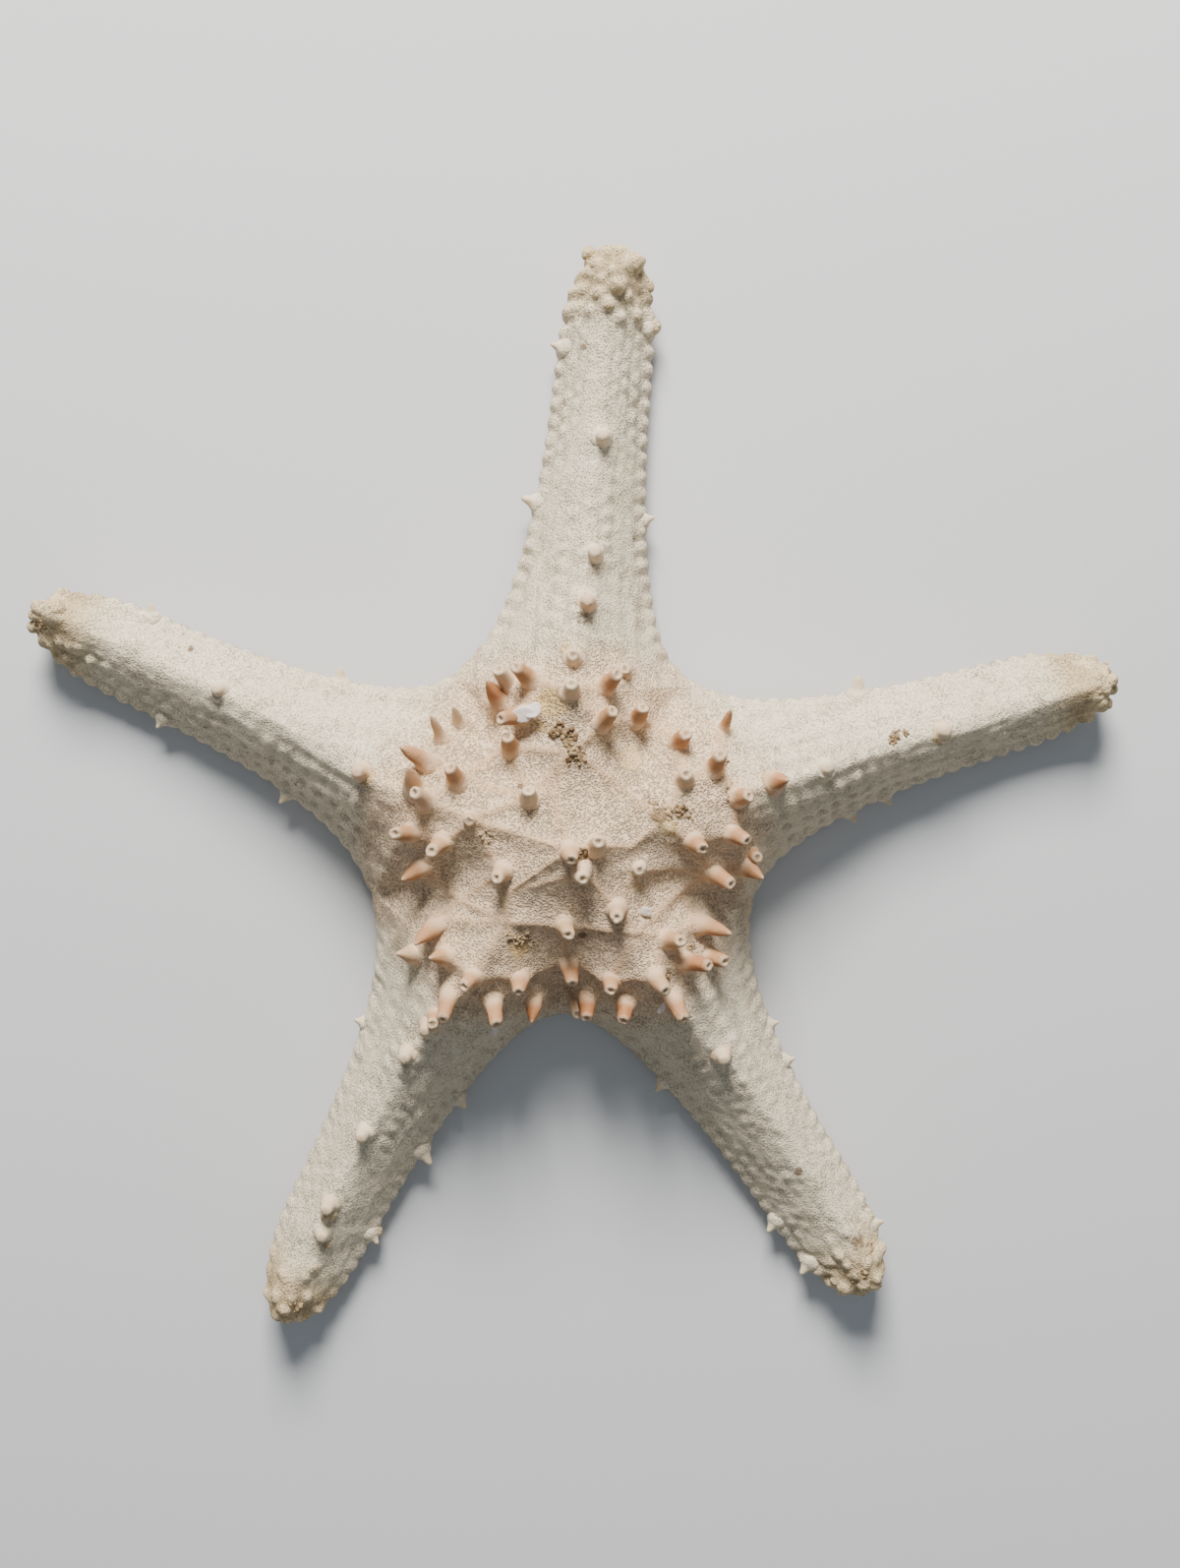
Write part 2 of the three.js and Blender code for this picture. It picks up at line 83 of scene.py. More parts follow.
# Spines of the disc: bearing and reach of the foot, length, lean from upright, turn of the lean to the
# left of straight outwards, and how orange it is.
brokenSpines = [
    (109, 38, 6.5, 40, 12, 0.15), (101, 37.5, 7, 45, 33, 0.6), (106.5, 31, 7, 47, 77, 0.65),
    (118, 25, 6, 34, -17, 0.45), (88, 35, 5, 25, 0, 0.12), (77, 36.5, 6.5, 42, -28, 0.6),
    (75, 29, 6.5, 40, -24, 0.5), (61.5, 32, 6, 35, 5, 0.5), (43.5, 33.5, 6, 30, 16, 0.75),
    (29, 36.5, 6.5, 39, 45, 0.55), (31.5, 30, 4.5, 24, 54, 0.2), (18, 39, 5.5, 25, 6, 0.45),
    (122.5, 14.5, 5, 28, -30, 0.12), (146.5, 28, 6, 40, -38, 0.45), (159, 32, 6, 34, -30, 0.25),
    (173, 33.5, 6, 34, -7, 0.5), (174.5, 26.5, 5.5, 27, 37, 0.35),
    (194.5, 14, 5, 16, 17, 0.25), (72, 2, 4.5, 20, -137, 0.3), (20, 7, 5, 21, 58, 0.2),
    (320, 4.5, 4.5, 10, -33, 0.15), (313.5, 16, 5, 12, -48, 0.25), (269, 15.5, 5, 17, 36, 0.3),
    (5.5, 27.5, 5.5, 22, -31, 0.5), (6.5, 36, 6, 32, -23, 0.55), (350.5, 32.5, 6.5, 39, -16, 0.6),
    (318.5, 29, 6, 32, 57, 0.35), (316.5, 35.5, 7, 46, 47, 0.9), (322, 40, 6, 32, 39, 0.55),
    (305.5, 33, 6, 31, 11, 0.3), (305.5, 40, 6.5, 40, -2, 0.55), (291, 36.5, 6, 32, -31, 0.95),
    (277.5, 35, 6, 36, -8, 1), (289, 30, 5, 16, -21, 0.4), (271, 25, 6.5, 41, 11, 0.6),
    (250, 29.5, 5.5, 27, 14, 0.5), (244, 37, 7, 43, 37, 0.55), (231, 40.5, 7, 44, 23, 0.5),
    (233.5, 33.5, 5.5, 25, -24, 0.35),
]
sharpSpines = [
    (114.5, 34.5, 8, 53, 0, 1), (18.5, 47.5, 6, 28, 0, 0.8),
    (147, 35, 9, 55, -3, 0.55), (157, 35.5, 7.5, 47, -62, 0.35),
    (187.5, 32, 6.5, 37, 20, 0.6), (353.5, 39.5, 6.5, 42, -22, 0.6), (330, 33.5, 8.5, 54, 19, 0.6),
    (258.5, 35.5, 6.5, 42, 2, 0.95), (221.5, 35, 6, 32, -59, 0.4), (210, 32, 8, 52, 9, 0.6),
    (216, 41.5, 6, 36, -62, 0.25),
]
thinSpines = [(138.5, 36, 8, 50, -29, 0.25), (131, 36, 6.5, 39, -30, 0.1), (36, 42.5, 7.5, 48, 39, 0.5)]
lowSpines = [
    (159.5, 21.5, 2.2, 16, 0, 0.3), (349, 16, 2.5, 4, 0, 0.1), (232, 47, 4, 16, 18, 0.4),
    (273.5, 37, 5, 15, 0, 0.2), (357, 41, 4, 15, 0, 0.4), (88, 42, 2.6, 20, 0, 0.12),
    (72, 40.5, 2.6, 20, 0, 0.25),
]
# Short spines on the arms: arm, distance along it, place across from -1 to 1, length, how orange.
armSpines = [
    (1, 89, -0.12, 3.2, 0.05), (1, 64, -0.16, 3.4, 0.05), (1, 53.5, -0.12, 4.4, 0.2),
    (2, 83.5, -0.12, 2.8, 0.05), (2, 47.5, -0.03, 4, 0.2),
    (0, 87, 0.04, 2.2, 0.1), (0, 59.5, 0.04, 1.8, 0.05),
    (3, 50, -0.07, 4, 0.15), (3, 59, -0.12, 3.6, 0.1), (3, 81, -0.12, 4, 0.05), (3, 100.5, -0.07, 4, 0.1),
    (3, 107.5, 0.12, 2.6, 0.05), (4, 58.5, 0.02, 3.2, 0.1),
]
# Thorns on the edges: arm, distance along it, side, length.
edgeThorns = [
    (1, 109, 1, 2.3), (1, 75, 1, 3.4), (1, 71.5, -1, 2.2), (1, 113.5, -1, 2), (2, 105, -1, 2.6),
    (2, 60, -1, 3.2), (2, 95.5, 1, 2), (2, 63, 1, 2.6), (0, 72.5, 1, 4.2), (0, 72, -1, 2.2),
    (0, 63, -1, 2.4), (3, 63.5, -1, 2.1), (3, 66, 1, 2.4), (3, 81, 1, 3.3), (3, 104.5, 1, 2.2),
    (4, 61.5, -1, 2.6), (4, 104, -1, 2.6), (4, 116.5, -1, 2.8), (4, 63.5, 1, 2), (4, 73, 1, 2),
    (4, 117, 1, 2.4),
]


# Knobs at each tip: how far back from the end, how far to the left of the middle, radius.
tipKnobs = [
    [(3.4, 4.9, 2.2), (1.4, 2.4, 2), (0.4, 0.2, 1.8), (0.4, -2, 1.7), (3.9, 1.6, 1.9), (2.9, -1.2, 1.8),
     (5.4, 5.6, 1.7), (4.5, -3.6, 2.6), (2.2, -5, 1.7), (6.4, -5.6, 1.8), (6.6, 6.4, 1.6)],
    [(2.1, 5.5, 2), (4.6, 3.6, 1.8), (2.2, 1.9, 1.5), (1.4, 0.3, 1.4), (1.5, -1.3, 1.4),
     (2.4, -2.4, 1.2), (0.9, -5.2, 1.6), (4, -4.1, 2.7), (6, 4.8, 1.6), (6.4, 0, 1.5), (7.7, 2.2, 1.3),
     (9.3, -1.2, 2.3), (11, 2.5, 1.7), (11.6, -3.5, 1.5), (13.3, 0.2, 1.7), (15.1, -6, 1.8),
     (9.9, 7, 1.8), (13.7, 8.2, 2.1), (17.1, -10, 2.1), (8.5, -7.8, 1.9), (14.5, 4, 1.6),
     (16, -2.5, 1.6)],
    [(4.6, -6.2, 2.1), (5.3, -3.3, 2.9), (1.1, -2.2, 1.9), (0.5, -0.1, 1.7), (0.6, 2.8, 1.7),
     (3.9, 4.2, 1.7), (5.8, 4.6, 1.4), (8, 2.7, 1.3), (10, 3, 1.3), (12.2, 2.6, 1.4), (9.9, 5.6, 1.3),
     (8.6, 7.1, 1.5), (12.5, 7.9, 1.5), (15.4, 4.3, 1.3)],
    [(29.9, -1.3, 2.4), (22.8, 1.6, 1.7), (16.3, 1.1, 1.7), (13.8, 1, 1.5), (29.2, 11.3, 1.7),
     (3.1, -5.1, 1.5), (6.1, -3.3, 1.7), (4.7, -0.3, 1.8), (1.5, 1.4, 1.6), (0.9, -1.1, 1.5),
     (3.1, 3.8, 1.5), (6.6, 7, 1.5), (7.8, 0, 1.5), (9.5, 3.6, 1.5), (11, -4, 1.6)],
    [(14.4, 8.9, 1.8), (6, 6.6, 1.6), (4.9, -4.2, 2.4), (7.2, 6.6, 2.2), (3.9, 0, 1.8), (2, 1.8, 1.6),
     (1.3, -1.7, 1.5), (3.8, 3.5, 1.5), (26.2, -10, 1.6), (14, -8.6, 1.7), (10.2, -6.8, 1.6),
     (6.9, -5.3, 1.7), (12.8, -1.3, 1.5), (10.3, -1, 1.4), (11.9, -4.6, 1.4), (7.4, -0.6, 1.5),
     (8.5, 3.4, 1.5), (17, 3, 1.6)],
]
# Crests of tight skin: bearing and reach of both ends, and how strong the crest is.
crests = [
    (109.5, 38, 101, 37.5, 0.6), (101, 37.5, 88.5, 35, 0.8), (88.5, 35, 74.5, 29, 0.8),
    (88.5, 35, 77, 36.5, 0.5), (77, 36.5, 74.5, 29, 1), (74.5, 29, 86.5, 22.5, 1),
    (74.5, 29, 62, 32, 0.5), (62, 32, 43.5, 33.5, 0.5), (43.5, 33.5, 31.5, 30, 0.7),
    (31.5, 30, 29, 36.5, 0.7), (29, 36.5, 36.5, 42.5, 0.5), (29, 36.5, 18, 39, 0.6),
    (31.5, 30, 19, 21.5, 0.6), (114.5, 34, 106.5, 30.5, 0.6), (106.5, 30.5, 101, 37.5, 0.6),
    (118, 25.5, 86.5, 22.5, 0.8), (118, 25.5, 122, 14.5, 0.4), (118, 25.5, 146, 28, 0.4),
    (146, 28, 122, 14.5, 0.4), (146, 28, 147.5, 35, 0.6), (146, 28, 159, 32, 0.5),
    (159, 32, 160, 21.5, 0.6), (86.5, 22.5, 122, 14.5, 1), (86.5, 22.5, 19, 21.5, 1),
    (86.5, 22.5, 102.5, 15, 0.4), (102.5, 15, 72, 2, 0.4), (122, 14.5, 160, 21.5, 1),
    (160, 21.5, 174.5, 26.5, 0.9), (174.5, 26.5, 173, 33.5, 0.6), (160, 21.5, 72, 2, 1),
    (160, 21.5, 195, 14, 0.7), (174.5, 26.5, 187.5, 32, 0.6), (187.5, 32, 206, 25.5, 0.7),
    (206, 25.5, 229, 19.5, 0.7), (210, 32, 206, 25.5, 0.6), (206, 25.5, 195, 14, 0.5),
    (195, 14, 229, 19.5, 0.8), (72, 2, 20, 7, 0.8), (20, 7, 8, 14, 0.8), (8, 14, 19, 21.5, 1),
    (19, 21.5, 5.5, 27.5, 0.9), (5.5, 27.5, 6.5, 36, 0.7), (5.5, 27.5, 351, 32.5, 0.6),
    (353.5, 39.5, 351, 32.5, 0.8), (351, 32.5, 339, 26.5, 0.8), (339, 26.5, 311.5, 23, 0.8),
    (72, 2, 319.5, 4.5, 0.7), (319.5, 4.5, 213.5, 14, 0.5), (213.5, 14, 229, 19.5, 1),
    (72, 2, 213.5, 14, 0.9), (319.5, 4.5, 313.5, 16, 0.8), (313.5, 16, 311.5, 23, 0.7),
    (313.5, 16, 348.5, 16, 0.4), (348.5, 16, 351, 32.5, 0.5), (210, 32, 229, 19.5, 0.8),
    (229, 19.5, 268.5, 15.5, 1), (268.5, 15.5, 311.5, 23, 1), (311.5, 23, 319, 28.5, 1),
    (319, 28.5, 330.5, 33.5, 0.9), (330.5, 33.5, 339, 26.5, 0.5), (268.5, 15.5, 271, 25.5, 0.9),
    (271, 25.5, 250, 29.5, 0.8), (271, 25.5, 289, 30, 0.8), (289, 30, 305.5, 33, 0.8),
    (289, 30, 311.5, 23, 0.5), (229, 19.5, 250, 29.5, 0.7), (229, 19.5, 233.5, 33.5, 0.7),
    (250, 29.5, 233.5, 33.5, 0.8), (210, 32, 221.5, 35, 0.6), (221.5, 35, 233.5, 33.5, 0.6),
    (319, 28.5, 305.5, 33, 0.7), (319, 28.5, 316.5, 35.5, 0.7), (316.5, 35.5, 322, 39.5, 0.6),
    (305.5, 33, 305.5, 40, 0.6), (250, 29.5, 259, 35.5, 0.5), (233.5, 33.5, 230.5, 40, 0.5),
    (210, 32, 215, 41, 0.5), (18, 39, 18.5, 47.5, 0.6), (18, 39, 6.5, 36, 0.4),
]


def smooth(value, low, high):
    part = np.clip((value - low) / (high - low), 0, 1)
    return part * part * (3 - 2 * part)


def bareHalfWidth(arm, along):
    growth = armWidth["growth"] * np.exp((armWidth["from"] - along) / armWidth["length"])
    return armWidth["tip"] * arm["girth"] + growth


def halfWidth(arm, along):
    missing = rootHalfWidth - bareHalfWidth(arm, rootDistance)
    flare = missing * np.exp((rootDistance - along) / armWidth["fillet"])
    width = np.minimum(bareHalfWidth(arm, along) + flare, armWidth["most"])
    late = np.clip(1 - (arm["reach"] - along) / tipCap["length"], 0, 1)
    return width * np.sqrt(1 - late ** tipCap["power"])


def sectorHalfWidth(arm, along):
    inDisc = along * math.tan(math.radians(halfSector))
    return np.where(along < rootDistance, inDisc, halfWidth(arm, np.maximum(along, rootDistance)))


def bendAt(arm, along):
    start = rootDistance + bendClearance
    return arm["bend"] * np.maximum(0, (along - start) / (arm["reach"] - start)) ** arm["evenness"]


def ridgeAt(arm, along):
    return arm["ridge"] * np.clip((along - rootDistance) / ridgeRunIn, 0, 1)


def liftAt(arm, along):
    return tipLift["height"] * np.clip(1 - (arm["reach"] - along) / tipLift["length"], 0, 1) ** 2


def toPlan(arm, along, across):
    angle = math.radians(arm["bearing"])
    side = across + bendAt(arm, along)
    x = along * math.cos(angle) - side * math.sin(angle)
    y = along * math.sin(angle) + side * math.cos(angle)
    return x, y


def toArm(arm, x, y):
    angle = math.radians(arm["bearing"])
    along = x * math.cos(angle) + y * math.sin(angle)
    return along, y * math.cos(angle) - x * math.sin(angle) - bendAt(arm, along)


def fromRidge(arm, along, across):
    width = np.maximum(halfWidth(arm, np.maximum(along, 0)), 0.1)
    ridge = ridgeAt(arm, along)
    room = np.where(across > ridge, width - ridge, width + ridge)
    room = np.maximum(room, 0.1)
    return np.where(along < 0, np.hypot(along, across) / width, np.abs(across - ridge) / room)


def armHeight(arm, x, y):
    along, across = toArm(arm, x, y)
    off = np.minimum(fromRidge(arm, along, across), 1)
    soft = (off + armSection["softRidge"]) / (1 + armSection["softRidge"])
    section = (1 - off ** 2 * soft ** (armSection["power"] - 2)) ** armSection["root"]
    fall = np.exp(-((np.maximum(0, along - armRise["from"]) / armRise["length"]) ** armRise["power"]))
    late = np.clip(1 - (arm["reach"] - along) / armRise["cap"], 0, 1)
    return (armRise["tip"] + armRise["growth"] * fall) * np.sqrt(1 - late * late) * section


def rise(x, y):
    off = np.minimum(np.hypot(x, y) / crotchRadius, 1)
    total = (discRise["most"] * (1 - off ** discRise["power"]) ** discRise["root"]) ** blendPower
    for arm in arms:
        total = total + armHeight(arm, x, y) ** blendPower
    return total ** (1 / blendPower)


def slopeNormal(x, y):
    step = 0.3
    dx = np.clip((rise(x + step, y) - rise(x - step, y)) / (2 * step), -4, 4)
    dy = np.clip((rise(x, y + step) - rise(x, y - step)) / (2 * step), -4, 4)
    normal = np.stack([-dx, -dy, np.ones_like(dx)], axis=-1)
    return normal / np.linalg.norm(normal, axis=-1, keepdims=True)


def crotchStretch(x, y):
    reach = np.hypot(x, y)
    fade = smooth(reach, crotchSpread["from"], crotchSpread["full"])
    fade = fade * (1 - smooth(reach, crotchSpread["until"], crotchSpread["gone"]))
    bearing = np.degrees(np.arctan2(y, x))
    stretch = 1
    for arm in arms:
        away = np.abs((bearing - arm["bearing"] - halfSector + 180) % 360 - 180)
        stretch = stretch + (1 - smooth(away, 0, halfSector)) * fade * arm["crotch"] / crotchRadius
    return stretch


def polar(bearing, reach):
    angle = math.radians(bearing)
    return reach * math.cos(angle), reach * math.sin(angle)


def footPlan(bearing, reach):
    x, y = polar(bearing, reach)
    stretch = crotchStretch(x, y)
    return x / stretch, y / stretch


def place(points):
    # from the even body in millimetres to the real one in metres
    stretch = crotchStretch(points[:, 0], points[:, 1])
    x = points[:, 0] * stretch + discMiddle["x"]
    y = points[:, 1] * stretch + discMiddle["y"]
    return np.stack([x, y, points[:, 2]], axis=-1) * mm


def noiseAt(points, scale, seed=0):
    # smooth noise from -1 to 1; scale is the size of its lumps in millimetres
    return np.array([noise.noise(Vector(p) / scale + Vector((seed, 7.3 * seed, 0))) for p in points])


discSpines = brokenSpines + sharpSpines + thinSpines + lowSpines
feet = [footPlan(row[0], row[1]) for row in discSpines]
feetTint = [row[5] for row in discSpines]


def discRelief(x, y):
    # crests from spine to spine, skin that sags between them, and a flared mound under each spine
    height = np.full(x.shape, 0.0)
    nearest = np.full(x.shape, 99.0)
    for firstBearing, firstReach, bearing, reach, strength in crests:
        ax, ay = footPlan(firstBearing, firstReach)
        bx, by = footPlan(bearing, reach)
        length = math.hypot(bx - ax, by - ay)
        part = np.clip(((x - ax) * (bx - ax) + (y - ay) * (by - ay)) / length ** 2, 0, 1)
        away = np.hypot(x - ax - part * (bx - ax), y - ay - part * (by - ay))
        tall = strength * (skin["midCrest"] + (skin["crest"] - skin["midCrest"]) * (2 * part - 1) ** 2)
        height = np.maximum(height, tall * np.exp(-away / skin["slope"]))
        nearest = np.minimum(nearest, away)
    within = 1 - smooth(np.hypot(x, y), crotchRadius - 8, crotchRadius + 3)
    sag = skin["sag"] * (1 - np.exp(-((nearest / 3) ** 2))) * within
    mound = np.zeros(x.shape)
    for footX, footY in feet:
        away = np.hypot(x - footX, y - footY)
        mound = np.maximum(mound, np.exp(-away / skin["moundReach"]))
    return height + skin["mound"] * mound - sag, nearest


def plateRelief(arm, side, along, off, points):
    # rounded plates in staggered rows; steep flanks have pits between bars near the disc
    free = 1 - smooth(off, 0.7, 0.95)
    moved = off + 0.06 * free * noiseAt(points, 10, 8)
    phase = platePhase(arm, along) + 0.45 * free * noiseAt(points, 12, 3)
    rowAt = (moved - plate["lastRow"]) / plate["rows"]
    wideAt = (moved - plate["lastRow"]) / (1.5 * plate["rows"])
    row = 0.5 + 0.5 * np.cos(2 * np.pi * rowAt)
    wideRow = 0.5 + 0.5 * np.cos(2 * np.pi * wideAt)
    bar = 0.5 - 0.5 * np.cos(2 * np.pi * phase)
    rowBar = 0.5 - 0.5 * np.cos(2 * np.pi * (phase + 0.5 * (np.round(rowAt) % 2)))
    wideBar = 0.5 - 0.5 * np.cos(2 * np.pi * (phase + 0.5 * (np.round(wideAt) % 2)))
    pit = ((1 - row) * (1 - 0.75 * bar)) ** 1.2
    late = smooth(along, arm["reach"] - 66, arm["reach"] - 34)
    pitted = np.where(side > 0, arm["flanks"][0], arm["flanks"][1]) * smooth(off, 0.3, 0.6)
    lumps = 1.15 * wideRow * wideBar + 0.25 * bar * smooth(off, 0.4, 0.8) - 0.3
    beads = np.where(side > 0, arm["beads"][0], arm["beads"][1]) * (0.8 * (row * rowBar) ** 0.8 - 0.3)
    start = smooth(along, rootDistance - 2, rootDistance + 14)
    wander = np.clip(0.8 + 1.3 * noiseAt(points, 6, 6), 0.1, 1.7)
    early = pitted * (0.35 - pit) + 0.65 * (1 - pitted) * lumps
    pattern = (1 - late) * early + late * (0.25 + 0.75 * smooth(off, 0.15, 0.5)) * beads
    # the hollows between plates, which the skin's colour darkens as painted shade
    hollowShade = smooth(-pattern, 0.02, 0.4) * start
    return plate["relief"] * start * wander * pattern * (1 - smooth(off, 0.9, 0.985)), hollowShade


def wrinkles(arm, along, across):
    # faint ridges that run along the arm, strongest near its root
    stretched = np.stack([0.2 * along, across, 0 * along + 11 * arm["bearing"]], axis=-1)
    fade = smooth(along, rootDistance - 14, rootDistance + 2)
    nearRoot = 1 - smooth(along, rootDistance + 12, rootDistance + 44)
    folds = 0.3 - np.abs(noiseAt(stretched, 3.4, 9))
    return fade * ((0.25 + 0.2 * nearRoot) * noiseAt(stretched, 1.9, 4) + 0.8 * nearRoot * folds)


def knobRelief(arm, along, across):
    # low knobs at the tip, and mounds under the short spines
    height = np.zeros(along.shape)
    for back, side, size in arm["knobs"]:
        away = np.hypot(along - arm["reach"] + back, across - side) / (1.3 * size)
        height = np.maximum(height, 0.6 * size * np.maximum(0, 1 - away ** 2) ** 2)
    for where, side in arm["mounds"]:
        away = np.hypot(along - where, across - side)
        height = np.maximum(height, 1.5 * np.exp(-away / 1.9))
    return height


def plateCount(arm):
    return round((arm["reach"] - rootDistance - plate["beforeTip"]) / plate["pitch"])


def platePhase(arm, along):
    step = (arm["reach"] - rootDistance - plate["beforeTip"]) / plateCount(arm)
    return (along - rootDistance) / step


def edgeBulge(arm, along):
    # each edge plate stands out as a rounded lobe
    lobe = np.abs(np.sin(np.pi * platePhase(arm, along))) ** 0.75
    size = plate["bulge"] + plate["tipBulge"] * smooth(along, arm["reach"] - 50, arm["reach"] - 12)
    begins = smooth(along, rootDistance, rootDistance + 1.5)
    ends = 1 - smooth(along, arm["reach"] - 3.5, arm["reach"])
    return lobe * size * begins * ends * arm["scallop"]


def describeArms():
    for index, arm in enumerate(arms):
        arm["knobs"] = tipKnobs[index]
        arm["mounds"] = []
        for which, along, across, length, tint in armSpines:
            if which == index:
                spot = across * float(halfWidth(arm, along)) + float(ridgeAt(arm, along))
                arm["mounds"].append((along, spot))


# The body: per arm one sheet over the top, from the middle of the disc to the tip, and one underneath.
body = {
    "columns": 66, "underColumns": 28, "discRows": 64, "armRows": 144, "firstRow": 1.5,
    "tipCrowding": 1.15,
}


def alongOf(arm, row):
    # row counts from 0 at the middle of the disc
    inDisc = body["firstRow"] + (rootDistance - body["firstRow"]) * (row - 1) / (body["discRows"] - 1)
    inDisc = np.where(row < 0.5, 0, inDisc)
    late = np.clip((row - body["discRows"]) / body["armRows"], 0, 1)
    onArm = arm["reach"] - (arm["reach"] - rootDistance) * (1 - late) ** body["tipCrowding"]
    return np.where(row <= body["discRows"], inDisc, onArm)


def outwards(arm, side):
    angle = math.radians(arm["bearing"])
    return np.stack([-math.sin(angle) * side, math.cos(angle) * side, np.zeros_like(side)], axis=-1)


# Soft lumps of the skin: size, height and seed.
skinLumps = [(6, 0.3, 1), (2.2, 0.2, 2), (1.3, 0.12, 12)]


def topSheet(arm, column, row):
    along = alongOf(arm, row)
    t = 2 * column / body["columns"] - 1
    u = 0.6 * t + 0.4 * np.sin(t * np.pi / 2)
    across = u * sectorHalfWidth(arm, along)
    x, y = toPlan(arm, along, across)
    onEdge = (along >= rootDistance) & (np.abs(u) > 0.999)
    height = np.where(onEdge, 0, rise(x, y))
    points = np.stack([x, y, edgeHeight + height + liftAt(arm, along)], axis=-1)
    off = np.where(along > rootDistance - 6, np.minimum(fromRidge(arm, along, across), 1), 0)
    side = np.sign(across - ridgeAt(arm, along))
    onArm = along > rootDistance
    atEdge = np.where(onArm, smooth(np.abs(u), 0.93, 1), 0)
    toCrotch = np.hypot(along - rootDistance, np.abs(across) - rootHalfWidth)
    disc, crestAway = discRelief(x, y)
    disc = disc * (1 - smooth(along, rootDistance + 4, rootDistance + 22))
    plates, hollowShade = plateRelief(arm, side, along, off, points)
    plates = plates + wrinkles(arm, along, across)
    inner = smooth(1 - np.abs(across) / np.maximum(sectorHalfWidth(arm, along), 0.1), 0, 0.2)
    plates = np.where(onArm, plates, plates * inner)
    lumps = sum(tall * noiseAt(points, size, seed) for size, tall, seed in skinLumps)
    knobs = knobRelief(arm, along, across)
    relief = (disc + lumps + plates + knobs) * (1 - atEdge) * smooth(toCrotch, 0.3, 3)
    relief = relief * smooth(arm["reach"] - along, 0, 1.6)
    hollowShade = hollowShade * (1 - smooth(knobs, 0.1, 0.6))
    margin = np.where(onArm, smooth(np.abs(u), 0.8, 0.98), 0)
    points = points + slopeNormal(x, y) * relief[:, None]
    points = points + outwards(arm, np.sign(u)) * (edgeBulge(arm, along) * margin)[:, None]
    # depths: painted shade for the hollows between plates, closeness to a crest, and knob height
    return points, along, [hollowShade, np.exp(-((crestAway / 0.9) ** 2)), knobs]


def underAcross(column, width):
    # crowded at the rounded edge and at the groove
    half = body["underColumns"] / 2
    place = np.abs(column - half)
    inset = underside["inset"] * np.minimum(1, width / underside["narrow"])
    groove = np.minimum(underside["groove"] * 1.25, width * 0.35)
    inGroove = groove * place / 5
    between = groove + (width - inset - groove) * (place - 5) / 5
    edge = width - inset * (1 - (place - 10) / 4) ** 1.6
    across = np.where(place <= 5, inGroove, np.where(place <= 10, between, edge))
    return np.where(column < half, -across, across)


def underSheet(arm, column, row):
    along = alongOf(arm, row)
    width = sectorHalfWidth(arm, along)
    across = underAcross(column, width)
    x, y = toPlan(arm, along, across)
    onArm = along >= rootDistance
    narrow = np.minimum(1, width / underside["narrow"])
    fromCrotch = np.hypot(rootDistance - along, rootHalfWidth - np.abs(across))
    fromEdge = np.where(onArm, width - np.abs(across), fromCrotch)
    inset = underside["inset"] * np.where(onArm, np.maximum(narrow, 0.05), 1)
    near = np.clip(1 - fromEdge / inset, 0, 1)
    z = edgeHeight * (1 - np.sqrt(1 - near ** 2))
    reach = np.hypot(x, y)
    depth = underside["depth"] * np.where(onArm, narrow, 1)
    depth = depth + underside["mouthDepth"] * (1 - smooth(reach, 0, underside["mouthReach"]))
    half = underside["groove"] * np.where(onArm, narrow, 1)
    groove = np.clip(1 - np.abs(across) / np.maximum(half, 0.05), 0, 1) ** 0.7
    points = np.stack([x, y, z], axis=-1)
    grains = 0.22 + 0.22 * noiseAt(points, 1.6, 5)
    inside = smooth(fromEdge, 0, inset)
    points[:, 2] = z + depth * groove + grains * inside + liftAt(arm, along)
    bulge = np.where(onArm, edgeBulge(arm, along) * (1 - smooth(fromEdge, 0, 3)), 0)
    points = points + outwards(arm, np.sign(across)) * bulge[:, None]
    return points, along, groove


# Marks on the upper side: place in the plan, radius, strength. Brown crumbs, yellow stains, smooth patches.
brownMarks = [
    (0.4, 25.5, 2.2, 1), (2.4, 21.9, 2.2, 0.9), (-11.6, -18.9, 2, 0.6), (-8.5, -19.2, 1.6, 0.55),
    (20, 8.6, 2.3, 0.8), (24.5, 9.1, 2, 0.8), (3.7, 0.9, 2, 0.9), (32.5, 15.8, 2.2, 0.6),
    (3.5, -18.3, 1.2, 0.9), (26.9, -21.7, 2, 0.6), (21.5, -27.1, 1.8, 0.6), (72.6, 23.8, 1.3, 1),
    (75, 24.6, 0.9, 0.8), (3.7, 50.5, 2.6, 0.55), (0.5, 41, 2.6, 0.4), (3.7, 108.7, 0.9, 1),
    (-84.1, 42.7, 0.8, 0.9), (-62, -111, 3, 0.45), (53, -76.8, 1.4, 0.8), (67, -94.5, 2.2, 0.7),
    (-124.4, 31.5, 2.6, 0.8), (-13.5, -2.7, 1.4, 0.5), (-9.6, 14.7, 1, 0.6), (58, 17, 1.6, 0.5),
    (31, 27.9, 2, 0.35),
]
yellowMarks = [
    (-3, 32.5, 4.5, 0.9), (-5, 27.9, 3.5, 0.6), (22.5, 5.8, 2.5, 0.7), (-10.1, -20.9, 3, 0.8),
    (14.1, 19, 3.5, 0.5), (82.6, 23.4, 2.4, 0.8), (-43.6, 16.6, 3.2, 0.9), (36, 12, 3, 0.5),
    (1, 44, 4, 0.5),
]
smoothMarks = [
    (14, 20, 3.2, 1), (21.5, 6, 2.2, 0.9), (15.8, -7.5, 1.8, 0.7), (0.5, 43, 2.6, 0.7), (-6, 31, 2, 0.5),
]


def markField(marks, x, y):
    field = np.zeros(x.shape)
    for markX, markY, radius, strength in marks:
        away = np.hypot(x - markX, y - markY)
        field = np.maximum(field, strength * (1 - smooth(away, 0.25 * radius, 1.5 * radius)))
    return field


